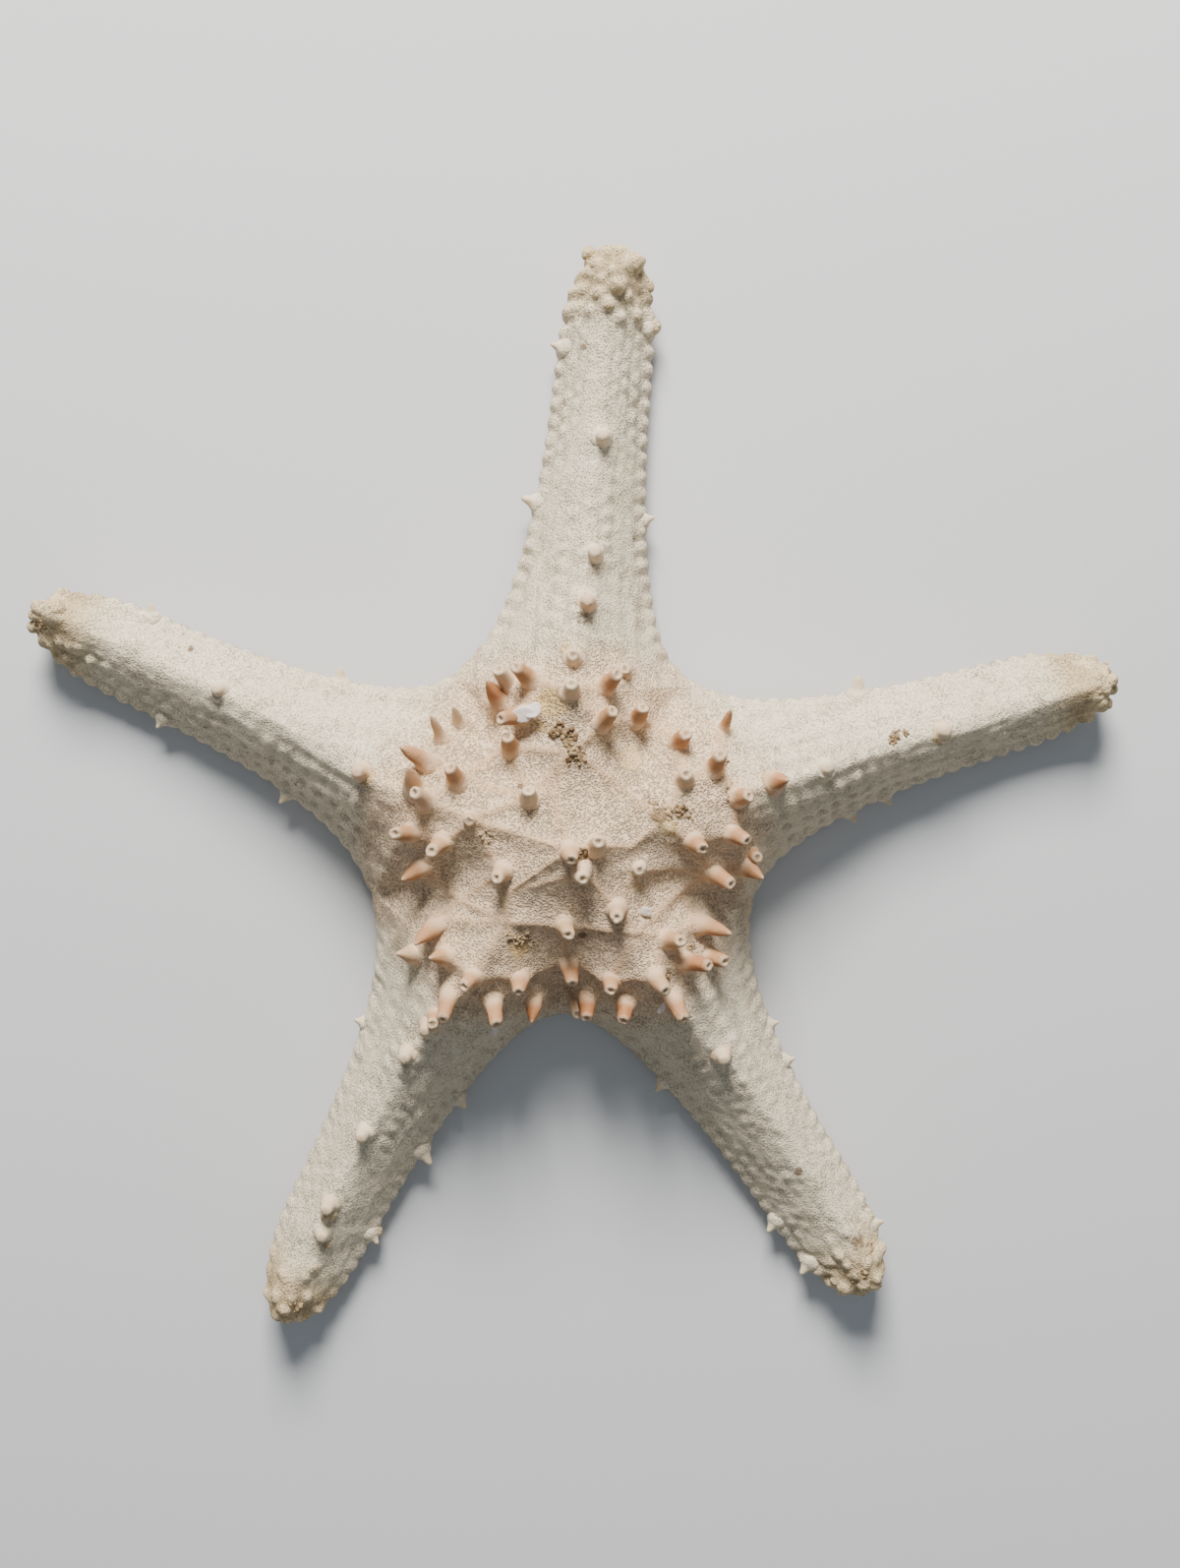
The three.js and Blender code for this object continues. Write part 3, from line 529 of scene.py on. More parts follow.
def peachField(x, y):
    field = np.zeros(x.shape)
    for (footX, footY), tint in zip(feet, feetTint):
        away = np.hypot(x - footX, y - footY)
        field = np.maximum(field, (0.35 + 0.65 * tint) * np.exp(-((away / 3.6) ** 2)))
    return field


def sheetRows(bm, columns, rows):
    made = bmesh.ops.create_grid(bm, x_segments=columns, y_segments=rows, size=1)["verts"]
    spots = np.array([vertex.co[:2] for vertex in made])
    return made, np.round((spots[:, 0] + 1) / 2 * columns), np.round((spots[:, 1] + 1) / 2 * rows)


def setVertices(bm, vertices, points, **layers):
    handles = {name: bm.verts.layers.float_color.get(name) for name in layers}
    for index, vertex in enumerate(vertices):
        vertex.co = points[index]
    for name, values in layers.items():
        rows = np.stack(list(values) + [np.ones(len(points))], axis=-1).tolist()
        handle = handles[name]
        for vertex, row in zip(vertices, rows):
            vertex[handle] = row


def finishMesh(name, bm, weld):
    bmesh.ops.remove_doubles(bm, verts=bm.verts[:], dist=weld)
    bmesh.ops.recalc_face_normals(bm, faces=bm.faces[:])
    mesh = bpy.data.meshes.new(name)
    bm.to_mesh(mesh)
    bm.free()
    mesh.polygons.foreach_set("use_smooth", [True] * len(mesh.polygons))
    piece = bpy.data.objects.new(name, mesh)
    bpy.context.scene.collection.objects.link(piece)
    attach(piece, "root")
    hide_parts("starfish")
    return piece


def newMesh(*layers):
    bm = bmesh.new()
    for layer in layers:
        bm.verts.layers.float_color.new(layer)
    return bm


def tipField(arm, along):
    # how yellow the skin is, from the middle of the arm to its tip
    return smooth(along, arm["reach"] - 26, arm["reach"] - 4)


def makeBody():
    bm = newMesh("marks", "forms", "depths")
    rows = body["discRows"] + body["armRows"]
    for arm in arms:
        made, column, row = sheetRows(bm, body["columns"], rows)
        points, along, depths = topSheet(arm, column, row)
        x, y = points[:, 0], points[:, 1]
        marks = [markField(brownMarks, x, y), markField(yellowMarks, x, y), markField(smoothMarks, x, y)]
        tip = tipField(arm, along)
        onDisc = 1 - smooth(np.hypot(x, y) + 5 * noiseAt(points, 9, 8), 36, 52)
        forms = [onDisc, tip, peachField(x, y)]
        setVertices(bm, made, place(points), marks=marks, forms=forms, depths=depths)
        made, column, row = sheetRows(bm, body["underColumns"], rows)
        points, along, groove = underSheet(arm, column, row)
        none = np.zeros(len(points))
        # the groove of the underside is painted browner towards its middle
        marks = [0.5 * groove, 0.3 + none, none]
        forms = [0.6 + none, tipField(arm, along), none]
        setVertices(bm, made, place(points), marks=marks, forms=forms)
    return finishMesh("body", bm, 0.01 * mm)


# Spines: radius and height along each kind's side, where heights are shares of the length, and then
# round its end, where they are millimetres from the end.
spineKinds = {
    "broken": {
        "side": [(0, -0.35), (2.9, -0.28), (2.8, -0.12), (2.55, 0.03), (2.25, 0.15), (2, 0.28), (1.8, 0.44),
                 (1.64, 0.62), (1.54, 0.8)],
        "end": [(1.48, -0.85), (1.42, -0.42), (1.28, -0.1), (1.04, 0.08), (0.78, 0.1), (0.6, 0),
                (0.46, -0.2), (0.28, -0.3), (0, -0.3)],
        "core": 2,
    },
    "sharp": {
        "side": [(0, -0.35), (3, -0.28), (2.9, -0.12), (2.6, 0.04), (2.25, 0.16), (1.95, 0.3),
                 (1.75, 0.42)],
        "end": [(1.45, -2.9), (1.18, -2.1), (0.88, -1.4), (0.6, -0.75), (0.36, -0.28), (0.18, -0.05),
                (0, 0)],
        "core": 0,
    },
    "thin": {
        "side": [(0, -0.35), (2.5, -0.28), (2.3, -0.12), (1.85, 0.02), (1.45, 0.14), (1.2, 0.28),
                 (1.05, 0.45)],
        "end": [(0.92, -2.6), (0.78, -1.9), (0.6, -1.2), (0.42, -0.6), (0.25, -0.2), (0.12, -0.04), (0, 0)],
        "core": 0,
    },
    "knob": {
        "side": [(0, -0.4), (2.7, -0.3), (2.6, -0.1), (2.25, 0.08), (1.85, 0.26), (1.55, 0.48)],
        "end": [(1.42, -0.8), (1.25, -0.38), (0.98, -0.12), (0.65, 0.02), (0.35, 0.05), (0, 0.06)],
        "core": 0,
    },
    "low": {
        "side": [(0, -0.35), (2.4, -0.28), (2.3, -0.1), (2, 0.08), (1.7, 0.28), (1.5, 0.5)],
        "end": [(1.32, -0.5), (1.22, -0.2), (1.05, 0), (0.8, 0.06), (0.6, -0.02), (0.45, -0.12),
                (0, -0.08)],
        "core": 2,
    },
    "thorn": {
        "side": [(0, -0.4), (3.1, -0.34), (2.9, -0.12), (2.2, 0.08), (1.6, 0.26), (1.2, 0.42)],
        "end": [(0.88, -0.95), (0.66, -0.5), (0.46, -0.2), (0.24, -0.03), (0, 0)],
        "core": 0,
    },
}
spineSides = 24
buriedScale = 6  # the length that shares below zero are taken of
coreWidth = 1.4  # from this radius out a worn end is fully uneven
rimRows = 4  # how many rows round the core are coloured as a ring
seedStep = 1.37  # sets the noise of one spine apart from the next
thorn = {"out": 0.3, "up": 1.2, "swing": 75, "lean": 72, "girth": 0.45, "girthPerLength": 0.15}


def addSpine(bm, kind, foot, upright, direction, length, tint, seed, girth=1):
    shape = spineKinds[kind]
    radii = [r for r, share in shape["side"]] + [r for r, z in shape["end"]]
    heights = [share * (length if share > 0 else buriedScale) for r, share in shape["side"]]
    heights = heights + [length + z for r, z in shape["end"]]
    count = len(radii) - 1
    made, column, row = sheetRows(bm, spineSides, count)
    index = row.astype(int)
    angle = 2 * np.pi * column / spineSides
    radius = girth * np.array(radii)[index]
    height = np.array(heights)[index]
    turned = smooth(height, 0, 0.45 * length)[:, None]
    axis = (1 - turned) * upright + turned * direction
    axis = axis / np.linalg.norm(axis, axis=1, keepdims=True)
    side = np.cross(axis, np.array([0.31, 0.95, 0.05]))
    side = side / np.linalg.norm(side, axis=1, keepdims=True)
    other = np.cross(axis, side)
    round = np.stack([np.cos(angle), np.sin(angle), 0 * angle], axis=-1)
    ring = round + np.stack([0 * angle, 0 * angle, 0.25 * height + seed], axis=-1)
    wobble = 1 + 0.1 * noiseAt(ring, 0.8, seed) + 0.06 * noiseAt(ring, 0.35, seed)
    chip = 0.4 * noiseAt(round, 0.9, seed + 5) + 0.5 * math.sin(9.1 * seed) * np.cos(angle - seed)
    isOpen = shape["core"] > 0
    atEnd = smooth(height, length - min(1.6, 0.3 * length), length)
    chip = chip * atEnd * np.minimum(1, radius / coreWidth) * isOpen
    centre = foot + direction * np.maximum(height, 0)[:, None] + upright * np.minimum(height, 0)[:, None]
    points = centre + axis * chip[:, None]
    outward = side * np.cos(angle)[:, None] + other * np.sin(angle)[:, None]
    points = points + outward * (radius * wobble)[:, None]
    # the rows of the open core, which the spine's colour darkens as painted shade
    core = np.where(index > count - shape["core"], 1.0, 0.0)
    rim = np.where((index > count - shape["core"] - rimRows) & isOpen, 1.0, 0.0)
    part = np.clip(height / length, 0, 1)
    none = np.zeros(len(points))
    setVertices(bm, made, place(points), growth=[part, none + tint, core], ends=[rim, none, none])


def lean(bearing, angle):
    flat = math.sin(math.radians(angle))
    x, y = polar(bearing, flat)
    return np.array([x, y, math.cos(math.radians(angle))])


def skinAt(x, y, extra=0):
    spotX, spotY = np.array([x]), np.array([y])
    upright = slopeNormal(spotX, spotY)[0]
    return np.array([x, y, edgeHeight + rise(spotX, spotY)[0] + extra]), upright


def makeSpines():
    bm = newMesh("growth", "ends")
    kinds = [("broken", brokenSpines), ("sharp", sharpSpines), ("thin", thinSpines), ("low", lowSpines)]
    seed = 1
    for kind, rows in kinds:
        for bearing, reach, length, angle, swing, tint in rows:
            foot, upright = skinAt(*footPlan(bearing, reach), 0.55)
            addSpine(bm, kind, foot, upright, lean(bearing + swing, angle), length, tint, seed * seedStep)
            seed += 1
    for index, along, across, length, tint in armSpines:
        arm = arms[index]
        x, y = toPlan(arm, along, across * halfWidth(arm, along) + ridgeAt(arm, along))
        foot, upright = skinAt(x, y, 0.3)
        addSpine(bm, "knob", foot, upright, lean(arm["bearing"], 12), length, tint, seed * seedStep)
        seed += 1
    for index, along, side, length in edgeThorns:
        arm = arms[index]
        x, y = toPlan(arm, along, side * (halfWidth(arm, along) + thorn["out"]))
        foot = np.array([x, y, edgeHeight + thorn["up"] + liftAt(arm, along)])
        direction = lean(arm["bearing"] + thorn["swing"] * side, thorn["lean"])
        girth = thorn["girth"] + thorn["girthPerLength"] * length
        addSpine(bm, "thorn", foot, direction, direction, length, 0, seed * seedStep, girth)
        seed += 1
    return finishMesh("spines", bm, 0.005 * mm)


# The larger knobs of the tips stand out as balls that are sunk into the skin.
beads = {
    "smallest": 1.65, "share": 0.85, "flatness": 0.95, "lift": 0.3, "sunk": 0.35, "bigFrom": 2,
    "bigSunk": 0.1, "rings": 10, "sides": 16,
}


def ballPoints(column, row, columns, rows):
    angle = 2 * np.pi * column / columns
    height = np.pi * row / rows
    girth = np.sin(height)
    return np.stack([girth * np.cos(angle), girth * np.sin(angle), -np.cos(height)], axis=-1)


def addBead(bm, centre, size, seed):
    made, column, row = sheetRows(bm, beads["sides"], beads["rings"])
    ball = ballPoints(column, row, beads["sides"], beads["rings"])
    lumps = 1 + 0.2 * noiseAt(ball, 0.8, seed) + 0.1 * noiseAt(ball, 0.4, seed)
    points = centre + ball * (size * lumps)[:, None] * np.array((1, 1, beads["flatness"]))
    none = np.zeros(len(points))
    shade = none + (0.5 + 0.5 * math.sin(seed * 12.9))
    # the lower half of each bead gets brown marks: painted shade under the bead
    underShade = smooth(-ball[:, 2], -0.3, 0.7)
    marks = [0.45 * underShade, 0.3 * shade, none]
    forms = [none, none + 1, none]
    setVertices(bm, made, place(points), marks=marks, forms=forms, depths=[none, none, none + 0.45])


def beadSpot(arm, along, across):
    # on the skin, or at the rim where the place lies on the edge of the arm
    x, y = toPlan(arm, along, across)
    lift = float(liftAt(arm, along))
    foot = skinAt(x, y, lift)[0]
    share = abs(across) / max(float(halfWidth(arm, along)), 1)
    if share > 0.85:
        foot[2] = edgeHeight + lift + 0.6
    return foot


def makeBeads():
    bm = newMesh("marks", "forms", "depths")
    seed = 1
    for arm in arms:
        for back, across, size in arm["knobs"]:
            if size < beads["smallest"]:
                continue
            spot = beadSpot(arm, arm["reach"] - back, across)
            sunk = beads["bigSunk"] if size > beads["bigFrom"] else beads["sunk"]
            spot[2] += beads["lift"] - size * sunk
            addBead(bm, spot, beads["share"] * size, seed)
            seed += 1
    return finishMesh("tip_beads", bm, 0.005 * mm)


# Heaps of crumbs on the skin: place in the plan, reach, number, size, how dark.
crumbHeaps = [
    (-1.4, 26.7, 1.7, 20, 0.55, 1), (1, 25.7, 1.6, 18, 0.5, 0.9), (0.3, 23.5, 1.2, 14, 0.45, 0.7),
    (2.1, 22.3, 1.7, 24, 0.42, 0.3), (3.2, 20.6, 1.3, 14, 0.4, 0.35), (1.2, 20.3, 1.2, 14, 0.34, 0.8),
    (-11.9, -17.9, 1.3, 10, 0.34, 0.3), (-10.3, -18.9, 1.4, 12, 0.34, 0.4),
    (-8.4, -18.4, 1.2, 8, 0.32, 0.3), (-6.9, -20.3, 1, 7, 0.3, 0.3), (18.6, 10, 1.5, 18, 0.34, 0.5),
    (21.6, 8.8, 1.7, 22, 0.34, 0.35), (24.6, 9.5, 1.4, 16, 0.34, 0.7), (26.6, 8.3, 1.1, 10, 0.3, 0.6),
    (4.2, 1.4, 1.1, 14, 0.3, 0.8), (3.2, 0, 0.9, 10, 0.3, 0.7), (72.4, 23.2, 1.3, 26, 0.3, 1),
    (73, 25.2, 1, 14, 0.28, 0.9), (75, 24.3, 0.8, 8, 0.26, 0.9), (26.6, -21.8, 1.5, 18, 0.34, 0.6),
    (21.6, -27.4, 1.2, 12, 0.32, 0.5), (-64, -110, 2.2, 10, 0.45, 0.05),
    (67.4, -102.7, 2.8, 34, 0.45, 0.05), (70.2, -96.5, 1.8, 18, 0.4, 0.08),
    (-17.1, 4, 1.6, 12, 0.32, 0.3), (36, 13, 1.8, 16, 0.34, 0.5),
    (34, 19, 1.3, 12, 0.32, 0.8), (119.3, 37, 2.8, 34, 0.5, 0.06), (120.6, 33.2, 2.4, 24, 0.5, 0.04),
    (118.6, 29.6, 2, 18, 0.45, 0.1), (-116.6, 47.4, 1.8, 14, 0.4, 0.5),
]
crumbShape = {"sides": 7, "rings": 5}


def plainSpot(x, y, extra):
    # the height of the skin with its crests, anywhere on the upper side
    spotX, spotY = np.array([x]), np.array([y])
    skinHeight = discRelief(spotX, spotY)[0][0]
    height = rise(spotX, spotY)[0] + skinHeight * float(1 - smooth(math.hypot(x, y), 40, 58))
    for arm in arms:
        along, across = toArm(arm, x, y)
        height += float(liftAt(arm, along)) * (abs(across) < armWidth["most"] / 2)
    return np.array([x, y, edgeHeight + height + extra])


def makeCrumbs():
    bm = newMesh("crumb")
    rng = np.random.default_rng(7)
    sides, rings = crumbShape["sides"], crumbShape["rings"]
    for x, y, reach, number, size, dark in crumbHeaps:
        for index in range(number):
            angle = 2 * math.pi * rng.random()
            away = reach * rng.random() ** 0.7
            radius = size * (0.55 + 0.8 * rng.random())
            centre = plainSpot(x + away * math.cos(angle), y + away * math.sin(angle), 0.15 * radius)
            made, column, row = sheetRows(bm, sides, rings)
            ball = ballPoints(column, row, sides, rings)
            lumps = 1 + 0.8 * noiseAt(ball, 0.6, 60 * rng.random())
            points = centre + ball * (radius * lumps)[:, None]
            shade = np.full(len(points), dark * (0.4 + 1.2 * rng.random()))
            setVertices(bm, made, place(points), crumb=[shade, shade, shade])
    return finishMesh("crumbs", bm, 0.005 * mm)


# Flakes that stuck to the skin: place in the plan, height over the skin, length, width, turn, tilt
# and how pink.
flakes = [
    (-9.2, 30.2, 2.5, 2.4, 1.8, 10, 10, 0.2), (-6.9, 31.1, 2.3, 2, 1.5, 50, -12, 0.1),
    (56.8, 17.4, 0.9, 2.1, 1.5, 25, 6, 0.7), (17.3, -12.7, 1.2, 1.2, 1.1, 0, 10, 0.5),
    (21, -34.5, 2.2, 1.5, 0.8, 60, 20, 0.3), (-16.6, -42.6, 1.6, 0.7, 2, 0, 30, 0.1),
]


def addFlake(bm, row):
    x, y, height, length, width, turn, tilt, pink = row
    sides, rings = 24, 8
    made, column, line = sheetRows(bm, sides, rings)
    ball = ballPoints(column, line, sides, rings)
    outline = 1 + 0.22 * noiseAt(ball * np.array((1, 1, 0)), 0.5, x)
    flat = ball * outline[:, None] * np.array((length, width, 0.22))
    flat[:, 2] += 0.1 * (flat[:, 0] ** 2 + flat[:, 1] ** 2) / length + 0.12 * noiseAt(flat, 0.8, y)
    a, b = math.radians(turn), math.radians(tilt)
    u = np.array([math.cos(a), math.sin(a), 0])
    v = np.array([-math.sin(a) * math.cos(b), math.cos(a) * math.cos(b), math.sin(b)])
    points = plainSpot(x, y, height) + flat[:, :1] * u + flat[:, 1:2] * v + flat[:, 2:] * np.cross(u, v)
    shade = np.full(len(points), pink)
    setVertices(bm, made, place(points), flake=[shade, shade, shade])


def makeFlakes():
    bm = newMesh("flake")
    for row in flakes:
        addFlake(bm, row)
    return finishMesh("flakes", bm, 0.005 * mm)


# Small spines stand in two rows along each groove of the underside and lean over it.
grooveSpines = {
    "pitch": 1.7, "radius": 0.5, "length": 2.3, "from": 7, "beforeTip": 7, "sides": 6,
    "foot": 0.98, "swing": 0.16, "lean": 0.85, "base": 0.75, "climb": 0.45, "tint": 0.25,
}


def makeGrooveSpines():
    bm = newMesh("growth", "ends")
    shape = [(0, -0.6), (1, -0.5), (1, 0), (0.85, 0.5), (0.55, 0.85), (0, 1)]
    radii, heights = np.array(shape).T
    for arm in arms:
        run = arm["reach"] - grooveSpines["beforeTip"] - grooveSpines["from"]
        count = int(run / grooveSpines["pitch"])
        for number in range(count):
            along = grooveSpines["from"] + grooveSpines["pitch"] * number
            for side in (-1, 1):
                made, column, row = sheetRows(bm, grooveSpines["sides"], len(shape) - 1)
                index = row.astype(int)
                angle = 2 * np.pi * column / grooveSpines["sides"]
                radius = grooveSpines["radius"] * radii[index]
                height = grooveSpines["length"] * heights[index]
                base = side * underside["groove"] * grooveSpines["foot"]
                turn = grooveSpines["swing"] * math.sin(37.1 * along + side)
                across = base - side * height * grooveSpines["lean"] + radius * np.cos(angle)
                x, y = toPlan(arm, along + height * turn + radius * np.sin(angle), across)
                z = grooveSpines["base"] + grooveSpines["climb"] * height + liftAt(arm, along)
                z = z + 0.3 * radius * np.sin(angle)
                part = np.clip(heights[index], 0, 1)
                none = np.zeros(len(part))
                points = place(np.stack([x, y, z], axis=-1))
                growth = [part, none + grooveSpines["tint"], none]
                setVertices(bm, made, points, growth=growth, ends=[none, none, none])
    return finishMesh("groove_spines", bm, 0.005 * mm)


def nodeMaker(tree):
    # makes a node, sets its plain values and links the others
    def make(kind, inputs=(), **settings):
        node = tree.nodes.new("ShaderNode" + kind)
        for name, value in settings.items():
            setattr(node, name, value)
        for key, value in dict(inputs).items():
            if isinstance(value, bpy.types.NodeSocket):
                tree.links.new(value, node.inputs[key])
            else:
                node.inputs[key].default_value = value
        return node
    return make


def mathNode(make, operation, first, second=0.0, third=0.0, clamp=False):
    inputs = {0: first, 1: second, 2: third}
    return make("Math", inputs, operation=operation, use_clamp=clamp).outputs[0]


def times(make, first, second, more=0.0):
    return mathNode(make, "MULTIPLY_ADD", first, second, more)


def plus(make, first, second):
    return mathNode(make, "ADD", first, second)


def inverse(make, value):
    return mathNode(make, "SUBTRACT", 1.0, value)


def rangeNode(make, value, low, high, start=0.0, end=1.0):
    inputs = {"Value": value, "From Min": low, "From Max": high, "To Min": start, "To Max": end}
    return make("MapRange", inputs, interpolation_type="SMOOTHSTEP").outputs[0]


def mixNode(make, factor, first, second):
    return make("Mix", {0: factor, 6: first, 7: second}, data_type="RGBA").outputs[2]


def noiseNode(make, spot, scale, detail, roughness, output="Fac"):
    inputs = {"Vector": spot, "Scale": scale, "Detail": detail, "Roughness": roughness}
    return make("TexNoise", inputs).outputs[output]


def cellNode(make, spot, scale, randomness=1):
    inputs = {"Vector": spot, "Scale": scale, "Randomness": randomness}
    return make("TexVoronoi", inputs, feature="F1").outputs["Distance"]


def newGroup(name, inputs, outputs):
    group = bpy.data.node_groups.new(name, "ShaderNodeTree")
    for label, kind in inputs:
        group.interface.new_socket(label, in_out="INPUT", socket_type=kind)
    for label, kind in outputs:
        group.interface.new_socket(label, in_out="OUTPUT", socket_type=kind)
    make = nodeMaker(group)
    return group, make, group.nodes.new("NodeGroupInput")


def groupOutput(group, values):
    out = group.nodes.new("NodeGroupOutput")
    for label, socket in values.items():
        group.links.new(socket, out.inputs[label])


def poreGroup():
    # open pores about a millimetre apart in a web of raised skin, in a space measured in millimetres; the
    # pit mask paints shade into the pores
    sockets = [("Place", "NodeSocketVector"), ("Openness", "NodeSocketFloat")]
    results = [("PitShade", "NodeSocketFloat"), ("Height", "NodeSocketFloat")]
    group, make, entry = newGroup("pores", sockets, results)
    spot = entry.outputs["Place"]
    drift = noiseNode(make, spot, 1.2, 2, 0.5, "Color")
    shifted = make("VectorMath", {0: drift, 1: (0.5, 0.5, 0.5)}, operation="SUBTRACT").outputs[0]
    pulled = make("VectorMath", {0: shifted, 3: 0.7}, operation="SCALE").outputs[0]
    warped = make("VectorMath", {0: spot, 1: pulled}, operation="ADD").outputs[0]
    cells = cellNode(make, warped, 2, 0.9)
    reach = times(make, entry.outputs["Openness"], 0.3, 0.34)
    pit = inverse(make, rangeNode(make, cells, times(make, reach, 0.5), reach))
    pinholes = inverse(make, rangeNode(make, cellNode(make, warped, 4), 0.1, 0.24))
    pit = mathNode(make, "MAXIMUM", pit, times(make, pinholes, 0.55))
    height = times(make, noiseNode(make, spot, 2.6, 4, 0.65), 0.55, 0.5)
    height = times(make, pit, -0.9, height)
    height = times(make, cells, 0.5, height)
    groupOutput(group, {"PitShade": pit, "Height": height})
    return group


def crumbGroup():
    # breaks a soft mark into crumbs with uneven edges
    sockets = [("Place", "NodeSocketVector"), ("Mark", "NodeSocketFloat")]
    group, make, entry = newGroup("crumbs", sockets, [("Mask", "NodeSocketFloat")])
    broken = times(make, noiseNode(make, entry.outputs["Place"], 0.75, 5, 0.7), 1.5, -0.75)
    total = plus(make, entry.outputs["Mark"], broken)
    groupOutput(group, {"Mask": rangeNode(make, total, 0.42, 0.7)})
    return group


shared = {"pores": poreGroup(), "crumbs": crumbGroup()}


def useGroup(make, name, inputs):
    node = make("Group", node_tree=shared[name])
    for label, value in inputs.items():
        if isinstance(value, bpy.types.NodeSocket):
            node.id_data.links.new(value, node.inputs[label])
        else:
            node.inputs[label].default_value = value
    return node


def startMaterial(name, roughness, specular=0.5):
    material = bpy.data.materials.new(name)
    material.use_nodes = True
    tree = material.node_tree
    tree.nodes.clear()
    make = nodeMaker(tree)
    shader = make("BsdfPrincipled", {"Roughness": roughness, "Specular IOR Level": specular})
    out = make("OutputMaterial")
    tree.links.new(shader.outputs[0], out.inputs["Surface"])
    spot = make("TexCoord").outputs["Object"]
    spot = make("VectorMath", {0: spot, 3: 1 / mm}, operation="SCALE").outputs[0]
    return material, make, shader, spot


def splitAttribute(make, name):
    colour = make("Attribute", attribute_name=name).outputs["Color"]
    return make("SeparateColor", {0: colour}).outputs[:3]


def paint(make, colour, tone, mask, amount=1):
    # lays a tone over the colour, as strongly as the mask and the amount say
    if amount < 1:
        mask = times(make, mask, amount)
    return mixNode(make, mask, colour, tones[tone])


def finishShader(make, shader, colour, height, strength, depth):
    bump = make("Bump", {"Strength": strength, "Distance": depth * mm, "Height": height})
    shader.id_data.links.new(colour, shader.inputs["Base Color"])
    shader.id_data.links.new(bump.outputs[0], shader.inputs["Normal"])


# Colours of the dried skin, as linear RGB.
tones = {
    "arm": (0.77, 0.665, 0.49, 1), "disc": (0.8, 0.59, 0.385, 1), "tip": (0.68, 0.51, 0.27, 1),
    # pit is painted shade, for the hollows between plates, the pores and the pore specks
    "pit": (0.24, 0.165, 0.11, 1), "dust": (0.38, 0.31, 0.24, 1), "brown": (0.17, 0.1, 0.045, 1),
    # the tone for the tips between knobs: a stain together with painted shade in the crevices
    "yellow": (0.62, 0.42, 0.17, 1), "stainAndShade": (0.36, 0.24, 0.11, 1), "cream": (0.72, 0.58, 0.39, 1),
    "peach": (0.52, 0.31, 0.16, 1), "salmon": (0.37, 0.15, 0.055, 1), "ring": (0.62, 0.47, 0.31, 1),
    # core is painted shade inside the hollow end of a worn spine
    "core": (0.3, 0.19, 0.11, 1), "husk": (0.46, 0.33, 0.18, 1), "patch": (0.74, 0.54, 0.27, 1),
    "flake": (0.8, 0.73, 0.67, 1), "pinkFlake": (0.68, 0.5, 0.4, 1),
}


def skinMaterial():
    material, make, shader, spot = startMaterial("dried skin", 0.92, 0.25)
    brown, yellow, patch = splitAttribute(make, "marks")
    hollowShade, crest, knob = splitAttribute(make, "depths")
    onDisc, tip, peach = splitAttribute(make, "forms")
    fine = noiseNode(make, spot, 0.8, 5, 0.7)
    patchy = noiseNode(make, spot, 0.2, 3, 0.6)
    crumbs = useGroup(make, "crumbs", {"Place": spot, "Mark": brown}).outputs["Mask"]
    stains = useGroup(make, "crumbs", {"Place": spot, "Mark": yellow}).outputs["Mask"]
    plaque = useGroup(make, "crumbs", {"Place": spot, "Mark": patch}).outputs["Mask"]
    # how open the pores are: most on the disc, least on the spine mounds, crests and smooth patches
    onCrest = times(make, crest, onDisc)
    opened = plus(make, times(make, onDisc, 0.5, 0.12), rangeNode(make, patchy, 0.42, 0.68, 0.0, 0.4))
    opened = times(make, peach, -0.45, opened)
    opened = times(make, onCrest, -0.6, opened)
    opened = mathNode(make, "MULTIPLY_ADD", plaque, -1.2, opened, clamp=True)
    pores = useGroup(make, "pores", {"Place": spot, "Openness": opened})
    # the skin's own colour
    colour = mixNode(make, rangeNode(make, onDisc, 0, 1), tones["arm"], tones["disc"])
    broad = noiseNode(make, spot, 0.07, 4, 0.6)
    colour = paint(make, colour, "cream", rangeNode(make, broad, 0.35, 0.7, 0.0, 0.35))
    colour = paint(make, colour, "tip", rangeNode(make, tip, 0.1, 1, 0.0, 0.72))
    colour = paint(make, colour, "peach", peach, 0.34)
    colour = paint(make, colour, "peach", onCrest, 0.6)
    # stains, dust and dirt, and painted shade in crevices, hollows and pores
    # browner between the knobs of the tips: a stain together with painted shade in the crevices
    knobCreviceStainAndShade = times(make, rangeNode(make, tip, 0.55, 1), rangeNode(make, knob, 0.1, 0.7, 0.5, 0.0))
    colour = paint(make, colour, "stainAndShade", knobCreviceStainAndShade)
    colour = paint(make, colour, "yellow", stains, 0.85)
    colour = paint(make, colour, "patch", plaque, 0.85)
    # painted shade in the hollows between plates
    colour = paint(make, colour, "pit", hollowShade, 0.38)
    colour = paint(make, colour, "dust", rangeNode(make, fine, 0.42, 0.75, 0.0, 0.27))
    # painted shade: small dark pore specks, in patches
    spots = cellNode(make, spot, 0.55)
    speckShade = times(make, rangeNode(make, spots, 0.1, 0.24, 0.5, 0.0), rangeNode(make, patchy, 0.45, 0.6))
    colour = paint(make, colour, "pit", speckShade)
    # painted shade inside the open pores
    colour = paint(make, colour, "pit", times(make, pores.outputs["PitShade"], times(make, opened, 0.42, 0.2)))
    # brown crumbs and dirt, the underside's groove browner towards its middle, and painted shade on the
    # lower halves of the tip beads
    colour = paint(make, colour, "brown", crumbs, 0.8)
    height = times(make, pores.outputs["Height"], times(make, opened, 0.4, 0.7))
    height = times(make, times(make, crumbs, fine), 1.2, height)
    height = plus(make, height, plaque)
    finishShader(make, shader, colour, height, 0.9, 0.45)
    return material


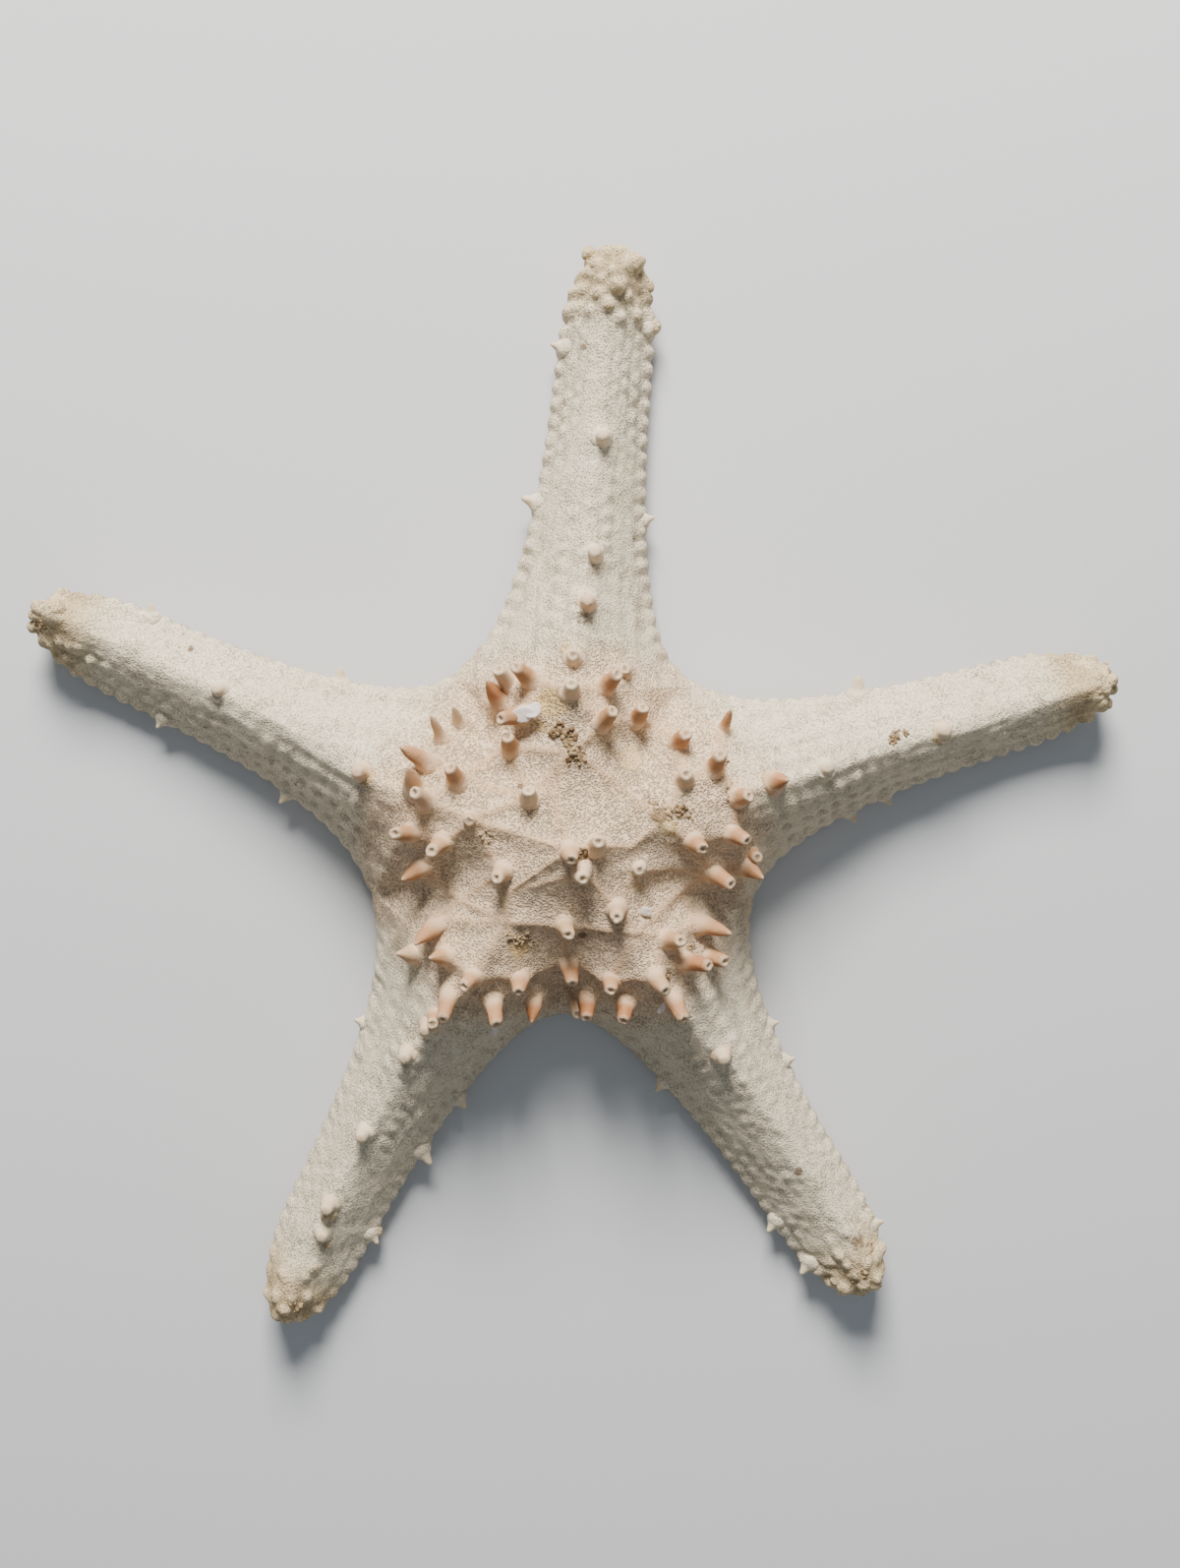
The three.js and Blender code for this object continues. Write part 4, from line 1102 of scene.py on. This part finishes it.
def spineMaterial():
    material, make, shader, spot = startMaterial("spine", 0.7, 0.35)
    part, tint, core = splitAttribute(make, "growth")
    rim = splitAttribute(make, "ends")[0]
    fine = noiseNode(make, spot, 1.1, 5, 0.7)
    pores = useGroup(make, "pores", {"Place": spot, "Openness": 0.35})
    side = mixNode(make, tint, tones["peach"], tones["salmon"])
    side = paint(make, side, "cream", rangeNode(make, tint, 0, 0.4, 0.9, 0.0))
    foot = mixNode(make, rangeNode(make, tint, 0.04, 0.12), tones["arm"], tones["disc"])
    footTint = times(make, times(make, tint, 0.4, 0.2), rangeNode(make, tint, 0, 0.15, 0.3, 1.0))
    foot = paint(make, foot, "peach", footTint)
    colour = mixNode(make, rangeNode(make, part, 0.1, 0.55), foot, side)
    # the worn end, with a ring round the open core; the core is painted dark as the shade inside its hollow
    colour = paint(make, colour, "ring", rangeNode(make, part, 0.84, 1.0, 0.0, 0.4))
    colour = paint(make, colour, "ring", rim, 0.6)
    colour = paint(make, colour, "core", core, 0.75)
    fleck = inverse(make, rangeNode(make, cellNode(make, spot, 1.5), 0.1, 0.26))
    colour = paint(make, colour, "brown", times(make, fleck, rangeNode(make, part, 0.35, 0.9, 0.0, 0.55)))
    colour = paint(make, colour, "dust", rangeNode(make, fine, 0.5, 0.8, 0.0, 0.3))
    # painted shade inside the pores near the foot
    low = inverse(make, rangeNode(make, part, 0.02, 0.25))
    colour = paint(make, colour, "pit", times(make, pores.outputs["PitShade"], low), 0.4)
    height = times(make, pores.outputs["Height"], low, times(make, fine, 0.8))
    finishShader(make, shader, colour, height, 0.7, 0.3)
    return material


def crumbMaterial():
    material, make, shader, spot = startMaterial("crumb", 1, 0.1)
    shade = splitAttribute(make, "crumb")[0]
    fine = noiseNode(make, spot, 1.6, 4, 0.7)
    colour = mixNode(make, shade, tones["husk"], tones["brown"])
    colour = paint(make, colour, "dust", rangeNode(make, fine, 0.4, 0.75, 0.0, 0.3))
    finishShader(make, shader, colour, fine, 0.7, 0.2)
    return material


def flakeMaterial():
    material, make, shader, spot = startMaterial("flake", 0.4)
    pink = splitAttribute(make, "flake")[0]
    fine = noiseNode(make, spot, 1.2, 4, 0.6)
    colour = mixNode(make, pink, tones["flake"], tones["pinkFlake"])
    colour = paint(make, colour, "cream", rangeNode(make, fine, 0.5, 0.8, 0.0, 0.4))
    finishShader(make, shader, colour, fine, 0.4, 0.2)
    return material


def dress(piece, material):
    piece.data.materials.append(material)


def floorMaterial():
    material, make, shader, spot = startMaterial("floor", 0.8)
    shader.inputs["Base Color"].default_value = (0.62, 0.625, 0.63, 1)
    return material


def makeFloor():
    bm = bmesh.new()
    bmesh.ops.create_grid(bm, x_segments=1, y_segments=1, size=3)
    mesh = bpy.data.meshes.new("floor")
    bm.to_mesh(mesh)
    bm.free()
    floor = bpy.data.objects.new("floor", mesh)
    bpy.context.scene.collection.objects.link(floor)
    floor.location.z = -0.1 * mm
    dress(floor, floorMaterial())


def areaLight(name, place, aim, size, power, colour):
    light = bpy.data.lights.new(name, "AREA")
    light.size = size
    light.energy = power
    light.color = colour
    lamp = bpy.data.objects.new(name, light)
    lamp.location = place
    lamp.rotation_euler = (Vector(aim) - Vector(place)).to_track_quat("-Z", "Y").to_euler()
    bpy.context.scene.collection.objects.link(lamp)


def lightStudio():
    areaLight("key", (-0.06, 0.96, 0.64), (0, 0, 0), 0.42, 41, (1, 0.98, 0.94))
    areaLight("fill", (0.5, -0.6, 0.9), (0, 0, 0), 1.2, 1.1, (0.9, 0.95, 1))
    world = bpy.data.worlds.new("studio")
    world.use_nodes = True
    background = world.node_tree.nodes["Background"]
    background.inputs["Color"].default_value = (0.78, 0.89, 1, 1)
    background.inputs["Strength"].default_value = 0.23
    bpy.context.scene.world = world


# The camera looks down, leaning 8 degrees. Its place is in millimetres from the middle of the disc.
view = {"place": (5.186, 73.104, 444.148), "lean": 8, "focalPixels": 1973.7, "height": 1594}


def makeCamera():
    camera = bpy.data.cameras.new("camera")
    camera.sensor_fit = "VERTICAL"
    camera.sensor_height = 24
    camera.lens = camera.sensor_height * view["focalPixels"] / view["height"]
    eye = bpy.data.objects.new("camera", camera)
    x, y, z = view["place"]
    eye.location = ((x + discMiddle["x"]) * mm, (y + discMiddle["y"]) * mm, z * mm)
    eye.rotation_euler = (math.radians(-view["lean"]), 0, 0)
    bpy.context.scene.collection.objects.link(eye)
    bpy.context.scene.camera = eye


describeArms()
makeCamera()
lightStudio()
makeFloor()
print("stage ready")
skinFinish = skinMaterial()
spineFinish = spineMaterial()
starBody = makeBody()
dress(starBody, skinFinish)
print("body ready", len(starBody.data.polygons))
spines = makeSpines()
dress(spines, spineFinish)
print("spines ready", len(spines.data.polygons))
tipBeads = makeBeads()
dress(tipBeads, skinFinish)
print("tip beads ready", len(tipBeads.data.polygons))
crumbs = makeCrumbs()
dress(crumbs, crumbMaterial())
flakePieces = makeFlakes()
dress(flakePieces, flakeMaterial())
print("crumbs and flakes ready", len(crumbs.data.polygons))
grooveRows = makeGrooveSpines()
dress(grooveRows, spineFinish)
print("groove spines ready", len(grooveRows.data.polygons))
